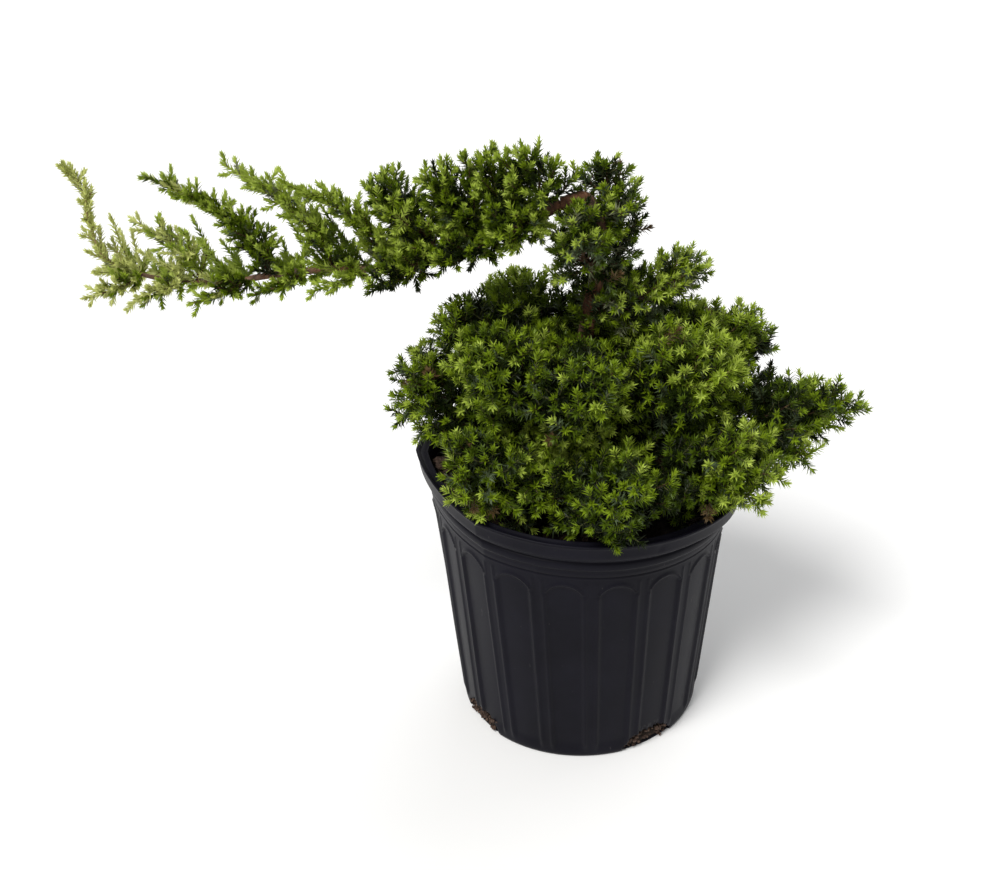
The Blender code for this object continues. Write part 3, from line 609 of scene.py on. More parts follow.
def make_pot(material):
    """The fluted skin as one sheet, opened at its drain holes and given its thickness."""
    rows = pot_rows()
    pitch = 360.0 / FLUTES
    offsets = [pitch * (step / FLUTE_COLUMNS - 0.5) for step in range(FLUTE_COLUMNS)]
    columns = [(index * pitch + offset + FLUTE_TURN, offset)
               for index in range(FLUTES) for offset in offsets]
    points = [pot_point(radius, bearing, z, offset)
              for radius, z in rows for bearing, offset in columns]
    closed = [not in_drain_hole(bearing, 0.5 * (low[1] + high[1]), 0.5 * (low[0] + high[0]))
              for low, high in zip(rows[:-1], rows[1:]) for bearing, offset in columns]
    mesh = mesh_from("pot_skin", np.array(points), tube_faces(len(rows), len(columns))[closed])
    bm = bmesh.new()
    bm.from_mesh(mesh)
    bmesh.ops.remove_doubles(bm, verts=bm.verts, dist=0.00001)
    bm.to_mesh(mesh)
    bm.free()
    mesh.shade_smooth()
    wall = add_piece(mesh, material, "pot", "pot").modifiers.new("wall", "SOLIDIFY")
    wall.thickness = POT_WALL
    wall.offset = -1.0


# Soil


def heap_height(radius, bearing):
    """How far the mix is heaped above its level, against the wall at the left."""
    off = turn_from(HEAP_BEARING, bearing)
    near = smooth_step((radius - HEAP_FOOT) / (HEAP_CROWN - HEAP_FOOT))
    return HEAP_RISE * near * math.exp(-(off / HEAP_HALF) ** 2)


def make_soil(soil, chips):
    """A rough bed of potting mix with bark chips, which also shows at the drain holes."""
    points = []
    levels = [(share, SOIL_TOP) for share in np.linspace(0.0, 1.0, SOIL_RINGS)]
    for high, low, count in SOIL_FLANK:
        levels += [(1.0, z) for z in np.linspace(high, low, count)]
    for share, z in levels:
        for side in range(SOIL_SIDES):
            bearing = 360.0 * side / SOIL_SIDES
            wall = wall_radius(z) - POT_WALL - SOIL_GAP
            if z > FLUTE_FOOT + 0.5 * FLUTE_FADE:
                wall -= FLUTE_DEPTH
            rough = noise.fractal(Vector((share * 9.0, bearing * 0.35, z * 260.0)), 1.0, 2.0, 4)
            radius = share * wall - (SOIL_ROUGH * (1.0 + rough) if share == 1.0 else 0.0)
            place = warp(radius, bearing, z)
            place.z = z
            if z == SOIL_TOP:
                lump = noise.fractal(Vector((place.x * 120.0, place.y * 120.0, 1.0)), 1.0, 2.0, 4)
                place.z += SOIL_LUMP * lump - SOIL_SUNK + heap_height(radius, bearing)
            points.append(place)
    faces = tube_faces(len(levels), SOIL_SIDES)[:, [0, 3, 2, 1]]
    mesh = mesh_from("soil_bed", np.array(points), faces)
    mesh.shade_smooth()
    add_piece(mesh, soil, "soil", "soil")
    add_piece(chip_mesh(), chips, "soil", "soil")


def chip_mesh():
    """Chips strewn over the soil and heaped at the left, and crumbs in the drain holes."""
    rng = np.random.default_rng(CHIP_SEED)
    bm = bmesh.new()
    for _ in range(SOIL_CHIPS):
        bearing = rng.uniform(0.0, 360.0)
        radius = CHIP_REACH * math.sqrt(rng.uniform(0.01, 1.0))
        place = warp(radius, bearing, SOIL_TOP)
        place.z = SOIL_TOP + heap_height(radius, bearing) + rng.uniform(*CHIP_SETTLE)
        add_chip(bm, place, [rng.uniform(*span) for span in CHIP_SIZE], rng)
    for _ in range(HEAP_CHIPS):
        bearing = HEAP_BEARING + rng.normal(0.0, HEAP_SPREAD)
        radius = rng.uniform(HEAP_FOOT, HEAP_CROWN + HEAP_PAST)
        place = warp(radius, bearing, SOIL_TOP)
        place.z = SOIL_TOP + heap_height(radius, bearing) + rng.uniform(*HEAP_SETTLE)
        size = [rng.uniform(*span) for span in HEAP_CHIP_SIZE] + [HEAP_CHIP_THICKNESS]
        add_chip(bm, place, size, rng)
    for _ in range(CRUMBS):
        bearing = DRAIN_BEARING + 360.0 / DRAIN_HOLES * rng.integers(0, DRAIN_HOLES)
        bearing += rng.uniform(-CRUMB_SPREAD, CRUMB_SPREAD)
        height = rng.uniform(*CRUMB_HEIGHTS)
        place = warp(wall_radius(height) - rng.uniform(*CRUMB_DEPTHS), bearing, height)
        place.z = max(place.z, CRUMB_FLOOR)
        add_chip(bm, place, [rng.uniform(*span) for span in CRUMB_SIZE], rng)
    mesh = bpy.data.meshes.new("bark_chips")
    bm.to_mesh(mesh)
    bm.free()
    return mesh


def add_chip(bm, place, size, rng):
    """One angular chip: a squashed cube with its corners pulled about."""
    made = bmesh.ops.create_cube(bm, size=1.0)["verts"]
    turn = Matrix.Rotation(rng.uniform(0.0, math.tau), 3, "Z")
    for axis in "XY":
        turn = turn @ Matrix.Rotation(rng.normal(0.0, CHIP_TILT), 3, axis)
    for vertex in made:
        pulled = Vector([axis * rng.uniform(*CHIP_PULL) for axis in vertex.co])
        vertex.co = place + turn @ Vector([a * b for a, b in zip(pulled, size)])


# Limbs


def smooth_path(points, per_span):
    """A Catmull-Rom curve through the points, as an array."""
    knots = np.array(points, float)
    ends = np.vstack([2 * knots[0] - knots[1], knots, 2 * knots[-1] - knots[-2]])
    path = []
    for before, start, end, after in zip(ends, ends[1:], ends[2:], ends[3:]):
        for t in np.arange(per_span) / per_span:
            path.append(0.5 * (
                2 * start + (end - before) * t
                + (2 * before - 5 * start + 4 * end - after) * t ** 2
                + (3 * start - before - 3 * end + after) * t ** 3))
    path.append(knots[-1])
    return np.array(path)


def unit(vectors):
    """The vectors at length one, along the last axis."""
    return vectors / np.maximum(np.linalg.norm(vectors, axis=-1, keepdims=True), 1e-12)


def path_at(path, share):
    """Place and heading at a share of the path's points."""
    place = share * (len(path) - 1)
    index = min(int(place), len(path) - 2)
    part = place - index
    return path[index] * (1 - part) + path[index + 1] * part, unit(path[index + 1] - path[index])


def outward(bearing):
    """Level unit vector at a bearing in degrees from +X."""
    return np.array((math.cos(math.radians(bearing)), math.sin(math.radians(bearing)), 0.0))


def bend(start, heading, end, count):
    """A curve that leaves start along heading and sweeps to end."""
    pull = start + heading * np.linalg.norm(end - start) * BEND_PULL
    t = np.linspace(0.0, 1.0, count)[:, None]
    return (1 - t) ** 2 * start + 2 * t * (1 - t) * pull + t ** 2 * end


class Limb:
    """A tapering limb of bark, in place of its CAD nodes."""

    def __init__(self, name, path, start, end, nodes):
        self.name = name
        self.path = path
        self.radii = np.linspace(start, end, len(path))
        self.nodes = nodes

    def at_height(self, height):
        """Centre and radius where an upright limb passes a height."""
        index = int(np.argmax(self.path[:, 2] >= height))
        return self.path[index], self.radii[index]


@dataclass
class Mass:
    """One mass of needles: its stem, the reach of its twigs and what it is like."""

    name: str
    stem: np.ndarray
    width: float
    kind: str

    def __post_init__(self):
        self.habit = HABITS[self.kind]
        self.dense = self.kind in ("mound", "column", "inner")


def square_to(headings):
    """A unit vector square to each heading."""
    side = np.cross(headings, UP)
    flat = np.linalg.norm(side, axis=1) < 0.1
    side[flat] = np.cross(headings[flat], (0.0, 1.0, 0.0))
    return unit(side)


def sides_along(path):
    """Two unit vectors square to the path at each point, carried along without a twist."""
    along = unit(np.gradient(path, axis=0))
    sides = [square_to(along[:1])[0]]
    for heading in along[1:]:
        sides.append(unit(sides[-1] - heading * (sides[-1] @ heading)))
    return np.array(sides), np.cross(along, sides)


def bark_mesh(limb, sides, relief):
    """A tube with ridged, flaking relief that runs along the limb."""
    across, over = sides_along(limb.path)
    steps = np.linalg.norm(np.diff(limb.path, axis=0), axis=1)
    length = np.concatenate([[0.0], np.cumsum(steps)])
    foot = Vector(limb.path[0])
    points = []
    for index, centre in enumerate(limb.path):
        for side in range(sides):
            angle = math.tau * side / sides
            out = across[index] * math.cos(angle) + over[index] * math.sin(angle)
            seed = Vector((math.cos(angle) * 2.2, math.sin(angle) * 2.2, length[index] * 90.0))
            ridge = 1.0 - 2.0 * abs(noise.noise(seed))
            flake = noise.fractal(seed * 2.7, 0.9, 2.1, 3)
            radius = limb.radii[index] + relief * (0.7 * ridge + 0.5 * flake - 0.5)
            place = Vector(centre + out * radius)
            if limb.name == "trunk":
                spread = Vector((place.x - foot.x, place.y - foot.y, 0.0))
                fade = math.exp(-max(0.0, place.z - foot.z) / FLARE_HEIGHT)
                root = 1.0 + FLARE_WAVE * math.cos(FLARE_ROOTS * math.atan2(spread.y, spread.x))
                place += spread.normalized() * FLARE * root * fade
            points.append(place)
    faces = tube_faces(len(limb.path), sides)
    mesh = mesh_from(limb.name + "_bark", np.array(points), faces)
    bm = bmesh.new()
    bm.from_mesh(mesh)
    bm.verts.ensure_lookup_table()
    for first in (0, len(points) - sides):
        bm.faces.new([bm.verts[first + corner] for corner in range(sides)])
    bmesh.ops.recalc_face_normals(bm, faces=bm.faces)
    bm.to_mesh(mesh)
    bm.free()
    mesh.shade_smooth()
    return mesh


def leave_trunk(trunk, bearing, height, distance, end_height, count):
    """A curve that leaves the trunk level at a height and sweeps out to its end."""
    foot, radius = trunk.at_height(height)
    out = outward(bearing)
    end = foot + out * distance
    end[2] = end_height
    return bend(foot + out * (radius - SINK), out, end, count)


def plan_plant():
    """The trunk, leader and boughs, and the stem and reach of every mass."""
    trunk = Limb("trunk", smooth_path(TRUNK_PATH, PATH_STEPS), TRUNK_RADIUS, TRUNK_TOP_RADIUS,
                 ["trunk"])
    leader = Limb("leader", smooth_path(LEADER_PATH, PATH_STEPS), LEADER_RADIUS,
                  LEADER_TIP_RADIUS, ["leader_inner", "leader_outer"])
    limbs = [trunk, leader]
    masses = []
    for name, *course, width in LOW_BOUGHS:
        whole = leave_trunk(trunk, *course, 4 * STEM_POINTS)
        bough = "bough_" + name
        limbs.append(Limb(bough, whole, BOUGH_RADIUS, BOUGH_TAPER * BOUGH_RADIUS, [bough]))
        first = int(BOUGH_SHARE * len(whole))
        masses.append(Mass("mound_" + name, whole[first::3], width, "mound"))
    for name, *course, width in TRUNK_MASSES:
        stem = leave_trunk(trunk, *course, STEM_POINTS)
        masses.append(Mass(name, stem, width, "mound" if name.startswith("upper") else "column"))
    plan_leader_masses(leader, masses)
    return limbs, masses


def mirrored(heading, side):
    """A unit heading turned to the leader's front or back."""
    return unit(np.array(heading) * (1.0, side, 1.0))


def plan_leader_masses(leader, masses):
    """Stems that rise from the leader's back, stand out of its sides and end its tip."""
    for index, (share, rise) in enumerate(zip(TOP_STATIONS, TOP_RISE)):
        centre, along = path_at(leader.path, share)
        width, kind = (INNER_WIDTH, "inner") if share < DENSE_TO else (OUTER_WIDTH, "outer")
        heading = mirrored(TOP_HEADING, 1.0 if index % 2 else -1.0)
        up = unit(UP - along * along[2])
        end = centre + up * LEADER_RADIUS + heading * (rise - TOP_SHORT * width)
        masses.append(Mass(f"plume_{index + 1}", bend(centre, up, end, STEM_POINTS), width, kind))
    for index, share in enumerate(SIDE_STATIONS):
        centre, along = path_at(leader.path, share)
        width, kind = (INNER_WIDTH, "inner") if share < DENSE_TO else (OUTER_WIDTH, "outer")
        for side, where in ((-1.0, "front"), (1.0, "back")):
            out = np.array((0.0, side, 0.0))
            out = unit(out - along * (along @ out))
            end = centre + mirrored(SIDE_HEADING, side) * SIDE_REACH
            stem = bend(centre, out, end, STEM_POINTS)
            masses.append(Mass(f"side_{where}_{index + 1}", stem, SIDE_SHARE * width, kind))
    masses.append(Mass("leader_tip", smooth_path(TIP_PATH, 4), TIP_WIDTH, "tip"))


# Space that each mass keeps to


def distance_to_path(points, path):
    """Least distance from each point to the path."""
    best = np.full(len(points), np.inf)
    for start, end in zip(path[:-1], path[1:]):
        span = end - start
        share = np.clip((points - start) @ span / (span @ span), 0.0, 1.0)
        away = np.linalg.norm(points - start - share[:, None] * span, axis=1)
        best = np.minimum(best, away)
    return best


def room(mass, masses, points):
    """True for each point in the mass's space, clear of the pot and soil."""
    own = distance_to_path(points, mass.stem) - mass.width
    fits = own <= 0.0
    middle = mass.stem.mean(axis=0)
    for other in masses:
        if other is not mass and np.linalg.norm(other.stem.mean(axis=0) - middle) < NEIGHBOUR:
            beyond = distance_to_path(points, other.stem) - other.width
            fits &= beyond - own >= -OVERREACH
    radius = np.hypot(points[:, 0], points[:, 1])
    inside = radius < LIP_RADIUS - LIP_WIDTH - 2.0 * POT_CLEAR
    outside = radius > LIP_RADIUS + POT_CLEAR
    floor = np.where(inside, SOIL_TOP, POT_HEIGHT - RIM_LEAN * points[:, 0])
    return fits & ((points[:, 2] >= floor + POT_CLEAR) | outside)


def clear_of(limbs, points):
    """True for each point outside the bark of the trunk and leader."""
    clear = np.ones(len(points), bool)
    for limb in limbs[:2]:
        clear &= distance_to_path(points, limb.path[::4]) >= 0.8 * limb.radii[0] + LIMB_CLEAR
    return clear


@dataclass
class Axes:
    """Many twigs or shoots at once: their roots, headings, lengths and lifts."""

    roots: np.ndarray
    headings: np.ndarray
    lengths: np.ndarray
    lifts: np.ndarray

    def points(self, share):
        """Where each axis is at a share of its length."""
        rise = np.outer(self.lifts * self.lengths * share ** 2, UP)
        return self.roots + self.headings * (self.lengths * share)[:, None] + rise

    def along(self, share):
        """Each axis's heading at a share of its length."""
        return unit(self.headings + np.outer(2.0 * self.lifts * share, UP))

    def kept(self, chosen):
        """The chosen axes alone."""
        return Axes(*[part[chosen] for part in vars(self).values()])

    def grown_to_fit(self, mass, masses, limbs, beyond):
        """Cut each axis back to the length whose tip, with its needles, has room."""
        fits = np.ones(len(self.roots), bool)
        longest = np.zeros(len(self.roots))
        for share in np.linspace(LEAST_GROWTH, 1.0, SAMPLES):
            tips = self.points(share) + self.along(share) * beyond
            fits &= room(mass, masses, tips)
            if share > CLEAR_FROM:
                fits &= clear_of(limbs, tips)
            longest = np.where(fits, share, longest)
        self.lengths = self.lengths * longest
        self.lifts = self.lifts * longest


def stations(path, step):
    """Even steps along a path: their shares of it, places and headings."""
    count = int(np.linalg.norm(np.diff(path, axis=0), axis=1).sum() / step)
    share = (np.arange(count) + 0.5) / count
    places, alongs = zip(*[path_at(path, part) for part in share])
    return share, np.array(places), np.array(alongs)


def swing(headings, spread, spin):
    """Headings tilted by spread away from each given one, round it by spin."""
    sides = square_to(headings)
    over = np.cross(headings, sides)
    out = sides * np.cos(spin)[:, None] + over * np.sin(spin)[:, None]
    return unit(headings * np.cos(spread)[:, None] + out * np.sin(spread)[:, None])


def grow_twigs(mass, masses, limbs, rng):
    """Twigs dealt out along the stem by the golden angle and one that carries its end on."""
    habit = mass.habit
    share, roots, alongs = stations(mass.stem, habit.step)
    count = len(share)
    start, end = habit.spreads
    spread = np.radians(start + (end - start) * share + rng.uniform(-SWAY, SWAY, count))
    spin = rng.uniform(0.0, math.tau) + GOLDEN_ANGLE * np.arange(count)
    headings = swing(alongs, spread, spin)
    first, last = habit.twigs
    lengths = mass.width * (first + (last - first) * share) * rng.uniform(*TWIG_LENGTHS, count)
    if mass.kind in DOWNWARD and mass.stem[0, 0] < FULL_BELOW:
        lengths *= np.clip(1.0 + DOWNWARD[mass.kind] * headings[:, 2], LEAST_DOWN, 1.0)
    if mass.dense:
        ends = roots + headings * lengths[:, None]
        clump = np.array([noise.noise(Vector(end) * CLUMP_SCALE) for end in ends])
        lengths *= np.clip(CLUMP_MIDDLE + clump, CLUMP_LEAST, 1.0)
    lifts = rng.uniform(*LIFT, count)
    roots = np.vstack([roots, mass.stem[-1]])
    headings = np.vstack([headings, alongs[-1]])
    twigs = Axes(roots, headings, np.append(lengths, mass.width), np.append(lifts, LIFT[0]))
    twigs.grown_to_fit(mass, masses, limbs, TWIG_ROOM * habit.needle)
    return twigs.kept(twigs.lengths > SHORTEST)


def grow_shoots(mass, masses, limbs, twigs, rng):
    """Shoots along every twig, with how far out each stands and the twig that bears it."""
    habit = mass.habit
    grown = []
    for index in range(len(twigs.roots)):
        twig = twigs.kept(slice(index, index + 1))
        first = max(habit.bare, SHOOTS_FROM) * twig.lengths[0]
        for number in range(max(0, int((twig.lengths[0] - first) / habit.shoot_step))):
            from_root = first + habit.shoot_step * (number + rng.uniform(*SHOOT_PLACE))
            share = from_root / twig.lengths[0]
            spread = np.radians([rng.uniform(*SHOOT_SPREAD)])
            spin = np.array([GOLDEN_ANGLE * (number + 5 * index)])
            heading = swing(twig.along(share), spread, spin)[0]
            length = rng.uniform(*habit.shoots) * (SHOOT_TAPER[0] - SHOOT_TAPER[1] * share)
            grown.append((twig.points(share)[0], heading, length, share, index))
    roots, headings, lengths, outer, bearer = [np.array(column) for column in zip(*grown)]
    shoots = Axes(roots, headings, lengths, rng.uniform(*SHOOT_LIFT, len(lengths)))
    shoots.grown_to_fit(mass, masses, limbs, SHOOT_ROOM * habit.needle)
    fit = shoots.lengths > SHORTEST
    return shoots.kept(fit), outer[fit], bearer[fit]


def grow_on_limb(limb, masses, rng):
    """Short shoots straight from the bark, each with the mass whose space it stands in."""
    share, centres, alongs = stations(limb.path, LIMB_SHOOT_STEP)
    count = len(share)
    lean = np.radians(rng.uniform(*LIMB_LEAN, count))
    headings = swing(alongs, lean, GOLDEN_ANGLE * np.arange(count))
    lengths = rng.uniform(*LIMB_SHOOTS[limb.name], count)
    lengths *= np.clip(1.0 + LIMB_DOWN * headings[:, 2], 0.5, 1.0)
    if limb.name == "leader":
        lengths *= 1.0 + LIMB_UP * np.clip(headings[:, 2], 0.0, 1.0)
    shoots = Axes(centres, headings, lengths, rng.uniform(*SHOOT_LIFT, count))
    tips = shoots.points(1.0)
    away = np.array([distance_to_path(tips, mass.stem) - mass.width for mass in masses])
    keeper = away.argmin(axis=0)
    kept = away.min(axis=0) < LIMB_SLACK
    if limb.name == "leader":
        patch = np.array([noise.noise(Vector(centre) * BARE_SCALE) for centre in centres])
        kept &= patch < BARE_PATCH
    else:
        for low, high in BARE_TRUNK:
            kept &= (centres[:, 2] < low) | (centres[:, 2] > high)
    return shoots.kept(kept), keeper[kept]


# Needles and twigs as joined meshes


def needle_meshes(tint, parts):
    """Folded blades, each two faces from base by its widest place to its point."""
    base, along, face, length, width = [np.concatenate(column) for column in zip(*parts)]
    middle = base + along * (NEEDLE_WIDEST * length)[:, None]
    middle += face * (NEEDLE_FOLD * width)[:, None]
    half = np.cross(along, face) * (0.5 * width)[:, None]
    tips = base + along * length[:, None]
    points = np.stack([base, middle - half, tips, middle + half], axis=1)
    for start in range(0, len(base), MOST_FACES // 2):
        some = points[start:start + MOST_FACES // 2]
        corner = np.arange(len(some))[:, None] * 4
        faces = np.stack([corner + (0, 1, 2), corner + (0, 2, 3)], axis=1).reshape(-1, 3)
        mesh = mesh_from(f"needles_{tint}_{start}", some.reshape(-1, 3), faces)
        mesh.shade_flat()
        yield mesh


def whorl_places(length, growing):
    """Distances from the end at which an axis bears its whorls, closer on a growing tip."""
    places = [WHORL_FIRST + TIP_WHORL_STEP * index for index in range(TIP_WHORLS if growing else 1)]
    while places[-1] < length - 2 * WHORL_ROOM:
        places.append(places[-1] + WHORL_STEP)
    return np.array([place for place in places if place < length - WHORL_ROOM])


def clothe(needles, axes, habit, tints, rng, bare=0.0, growing=True):
    """Whorls of three needles along each axis, short and forward at its growing tip."""
    for index in range(len(axes.roots)):
        length = axes.lengths[index]
        places = whorl_places(length * (1.0 - bare), growing)
        count = len(places)
        whorls = axes.kept([index] * count)
        heading = np.repeat(whorls.along(1.0 - places / length), 3, axis=0)
        centre = np.repeat(whorls.points(1.0 - places / length), 3, axis=0)
        total = 3 * count
        spin = np.arange(count)[:, None] * math.radians(60.0) + np.arange(3) * math.radians(120.0)
        spin = spin.ravel() + rng.uniform(0.0, math.tau) + rng.normal(0.0, WHORL_SPREAD, total)
        young = np.repeat(np.clip(1.0 - places / YOUNG_LENGTH, 0.0, 1.0), 3) * growing
        old_lean, young_lean = habit.leans
        lean = old_lean + (young_lean - old_lean) * young + rng.normal(0.0, LEAN_SPREAD, total)
        lean = np.radians(lean)[:, None]
        out = swing(heading, np.full(total, 0.5 * math.pi), spin)
        along = unit(heading * np.cos(lean) + out * np.sin(lean))
        face = unit(heading * np.sin(lean) - out * np.cos(lean))
        grown = habit.needle * (1.0 - YOUNG_SHORTER * young) * rng.uniform(*NEEDLE_LENGTHS, total)
        width = habit.width * (1.0 - YOUNG_SLIMMER * young) * rng.uniform(*NEEDLE_WIDTHS, total)
        body, tip = tints[index]
        for tint, chosen in ((tip, young > TIP_YOUTH), (body, young <= TIP_YOUTH)):
            needles[tint].append([part[chosen] for part in (centre, along, face, grown, width)])


def tubes_along(axes, start, end, sides, rings):
    """A tapering tube along each axis: the points and faces of them all."""
    loops = []
    for share in np.linspace(0.0, 1.0, rings):
        heading = axes.along(share)
        side = square_to(heading)
        over = np.cross(heading, side)
        radius = start + (end - start) * share
        for corner in range(sides):
            angle = math.tau * corner / sides
            loops.append(axes.points(share) + radius * (
                side * math.cos(angle) + over * math.sin(angle)))
    points = np.stack(loops, axis=1)
    offsets = np.arange(len(points)) * rings * sides
    faces = tube_faces(rings, sides)[None] + offsets[:, None, None]
    return points.reshape(-1, 3), faces.reshape(-1, 4)


def twig_mesh(tint, tubes):
    """All tubes of a tint as one mesh."""
    points, faces, total = [], [], 0
    for some, quads in tubes:
        points.append(some)
        faces.append(quads + total)
        total += len(some)
    mesh = mesh_from(tint + "_twigs", np.concatenate(points), np.concatenate(faces))
    mesh.shade_smooth()
    return mesh


# The deep tint is the darkest green. Inside dense masses it serves as painted shade, and elsewhere
# it gives darker patches.
TINTS = {
    "deep": ((0.005, 0.010, 0.001), (0.017, 0.030, 0.002)),
    "mid": ((0.050, 0.084, 0.003), (0.096, 0.150, 0.005)),
    "fresh": ((0.136, 0.206, 0.006), (0.216, 0.303, 0.013)),
    "lime": ((0.290, 0.385, 0.030), (0.445, 0.545, 0.100)),
    "blue": ((0.060, 0.088, 0.036), (0.120, 0.160, 0.080)),
    "grey": ((0.150, 0.170, 0.085), (0.230, 0.250, 0.140)),
    "straw": ((0.470, 0.505, 0.140), (0.690, 0.730, 0.280)),
    "dead": ((0.080, 0.050, 0.018), (0.160, 0.105, 0.045)),
}
GREENS = ("deep", "mid", "fresh", "lime")
TWIG_TINTS = {
    "brown": ((0.050, 0.026, 0.014), (0.150, 0.085, 0.045)),
    "green": ((0.060, 0.062, 0.018), (0.150, 0.150, 0.050)),
    "pale": ((0.260, 0.180, 0.090), (0.450, 0.340, 0.190)),
}
TINT_SHARE = 0.8
TIP_STEP = 1.45
PATCH_SCALE = 26.0
PATCH_REACH = 2.5
BASE_GREEN = {"mound": 0.65, "column": 0.75, "inner": 1.8, "outer": 2.2, "tip": 3.0}
# Painted shade inside dense masses: these are the tint steps darker for shoots that stand nearer
# the stem than the share below.
PAINTED_SHADE_STEPS = 1.8
PAINTED_SHADE_TO = 0.6
TINT_SPREAD = 0.35
PALE_FROM = -0.225
PALE_TO = -0.315
ODD_TINTS = {
    "mound": (("blue", 0.10), ("dead", 0.006)),
    "column": (("blue", 0.26), ("grey", 0.22), ("dead", 0.012)),
    "inner": (("blue", 0.06), ("dead", 0.005)),
    "outer": (("grey", 0.05), ("blue", 0.04)),
    "tip": (("straw", 0.78), ("grey", 0.14)),
}


def deal_tints(mass, places, outer, rng):
    """A body tint and a tip tint for each axis, brighter in patches, and darker inside dense masses
    as painted shade.
    """
    tints = []
    for place, share in zip(places, outer):
        patch = PATCH_REACH * noise.noise(Vector(place) * PATCH_SCALE)
        level = BASE_GREEN[mass.kind] + patch + rng.normal(0.0, TINT_SPREAD)
        # Painted shade: shoots deep inside a dense mass take darker greens.
        if share < PAINTED_SHADE_TO and mass.dense:
            level -= PAINTED_SHADE_STEPS
        body = GREENS[int(np.clip(round(level), 0, 3))]
        tip = GREENS[int(np.clip(round(level + TIP_STEP), 0, 3))]
        draw = rng.uniform()
        for odd, chance in ODD_TINTS[mass.kind]:
            if 0.0 <= draw < chance:
                body = odd
                if odd in ("straw", "dead"):
                    tip = odd
            draw -= chance
        pale = (place[0] - PALE_FROM) / (PALE_TO - PALE_FROM)
        if rng.uniform() < pale:
            body = tip = "straw"
        tints.append((body, tip))
    return tints


def dress(needles, mass, axes, places, rng, outer=None, **growth):
    """Deal tints by place to the axes and clothe them in needles of the mass's kind."""
    tints = deal_tints(mass, places, np.ones(len(places)) if outer is None else outer, rng)
    clothe(needles, axes, mass.habit, tints, rng, **growth)


def grow_foliage(limbs, masses):
    """Every mass's needles and twigs, gathered by tint."""
    needles = {tint: [] for tint in TINTS}
    wood = {tint: [] for tint in TWIG_TINTS}
    for number, mass in enumerate(masses):
        rng = np.random.default_rng(MASS_SEED + number)
        twigs = grow_twigs(mass, masses, limbs, rng)
        shoots, outer, bearer = grow_shoots(mass, masses, limbs, twigs, rng)
        add_stem(needles, wood, mass, rng)
        wood["pale" if mass.kind == "tip" else "brown"].append(tubes_along(twigs, *TWIG_TUBE))
        wood["pale" if mass.kind == "tip" else "green"].append(tubes_along(shoots, *SHOOT_TUBE))
        places = twigs.points(TINT_SHARE)
        dress(needles, mass, twigs, places, rng, bare=mass.habit.bare)
        dress(needles, mass, shoots, places[bearer], rng, outer)
    for number, limb in enumerate(limbs[:2]):
        rng = np.random.default_rng(LIMB_SEED + number)
        shoots, keeper = grow_on_limb(limb, masses, rng)
        wood["green"].append(tubes_along(shoots, *SHOOT_TUBE))
        for index in np.unique(keeper):
            some = shoots.kept(keeper == index)
            dress(needles, masses[index], some, some.points(TINT_SHARE), rng)
    return needles, wood


def add_stem(needles, wood, mass, rng):
    """The mass's own stem: a tube along it and, on the airy masses, needles on it."""
    span = THIN_STEM_RADII if mass.kind in ("outer", "tip") else STEM_RADII
    radii = np.linspace(*span, len(mass.stem))
    steps = np.diff(mass.stem, axis=0)
    lengths = np.linalg.norm(steps, axis=1)
    pieces = Axes(mass.stem[:-1], unit(steps), lengths * STEM_OVERLAP, np.zeros(len(lengths)))
    tubes = wood["pale" if mass.kind == "tip" else "brown"]
    for index in range(len(lengths)):
        piece = pieces.kept(slice(index, index + 1))
        tubes.append(tubes_along(piece, radii[index], radii[index + 1], 6, 2))
    if not mass.dense:
        dress(needles, mass, pieces, mass.stem[:-1], rng, growing=False)


# Stage


def make_camera():
    """The photograph's camera."""
    data = bpy.data.cameras.new("camera")
    data.sensor_width = 36.0
    data.lens = data.sensor_width * LENS_PIXELS / FRAME_WIDTH
    data.clip_start = 0.05
    camera = put_in_scene("camera", data)
    turn = Matrix.Rotation(0.5 * math.pi - PITCH, 4, "X") @ Matrix.Rotation(ROLL, 4, "Z")
    camera.matrix_world = Matrix.Translation(EYE) @ turn
    bpy.context.scene.camera = camera


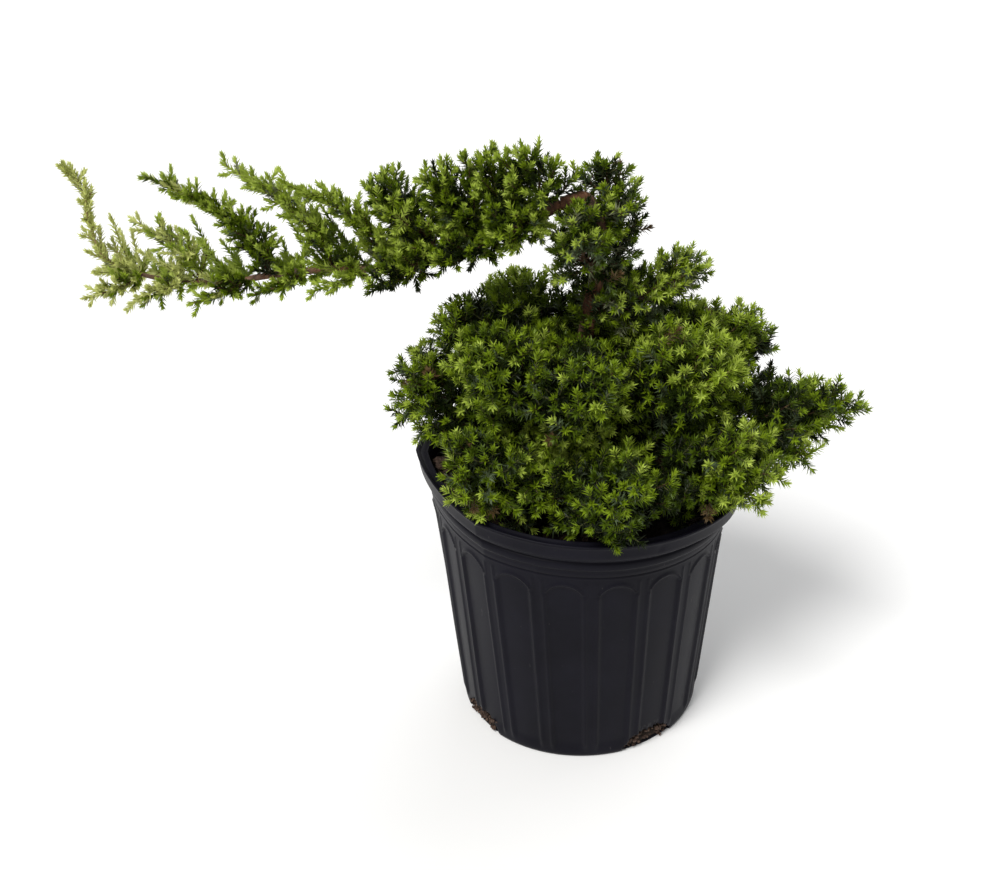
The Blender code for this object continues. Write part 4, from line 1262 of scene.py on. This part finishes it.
def add_light(name, toward, angle, power, colour):
    """A soft distant light from a direction, as wide in the sky as its angle."""
    data = bpy.data.lights.new(name, "SUN")
    data.angle = math.radians(angle)
    data.energy = power
    data.color = colour
    light = put_in_scene(name, data)
    light.location = toward
    light.rotation_euler = (-Vector(toward)).to_track_quat("-Z", "Y").to_euler()


def make_stage():
    """A plain pale floor under soft studio light."""
    corners = FLOOR_REACH * np.array([(-1, -1, 0), (1, -1, 0), (1, 1, 0), (-1, 1, 0)])
    mesh = mesh_from("floor", corners, np.array([(0, 1, 2, 3)]))
    shader = Shader("pale_floor", 0.9, 0.2)
    shader.colour((0.86, 0.86, 0.86, 1.0))
    mesh.materials.append(shader.material)
    floor = put_in_scene("floor", mesh)
    world = bpy.data.worlds.new("studio")
    world.use_nodes = True
    background = world.node_tree.nodes["Background"]
    background.inputs["Color"].default_value = (1.0, 1.0, 1.0, 1.0)
    background.inputs["Strength"].default_value = WORLD_STRENGTH
    bpy.context.scene.world = world
    add_light("key", (-0.55, -0.75, 1.30), 26.0, 2.9, (1.0, 0.99, 0.97))
    add_light("back", (0.70, 0.90, 1.10), 60.0, 0.9, (0.98, 0.99, 1.0))
    bpy.context.scene.view_settings.view_transform = "Standard"


def main():
    make_camera()
    make_stage()
    make_pot(pot_material())
    make_soil(soil_material(), chip_material())
    limbs, masses = plan_plant()
    bark = bark_material()
    for limb in limbs:
        mesh = bark_mesh(limb, *(TRUNK_BARK if limb.name == "trunk" else LIMB_BARK))
        add_piece(mesh, bark, "bark", *limb.nodes)
    needles, wood = grow_foliage(limbs, masses)
    nodes = [mass.name for mass in masses]
    for tint, (dark, light) in TINTS.items():
        material = needle_material("needles_" + tint, dark, light)
        slot = "pale_needles" if tint == "straw" else "needles"
        for mesh in needle_meshes(tint, needles[tint]):
            add_piece(mesh, material, slot, *nodes)
    for tint, (dark, light) in TWIG_TINTS.items():
        material = twig_material(tint + "_twig", dark, light)
        add_piece(twig_mesh(tint, wood[tint]), material, "bark", *nodes)


main()
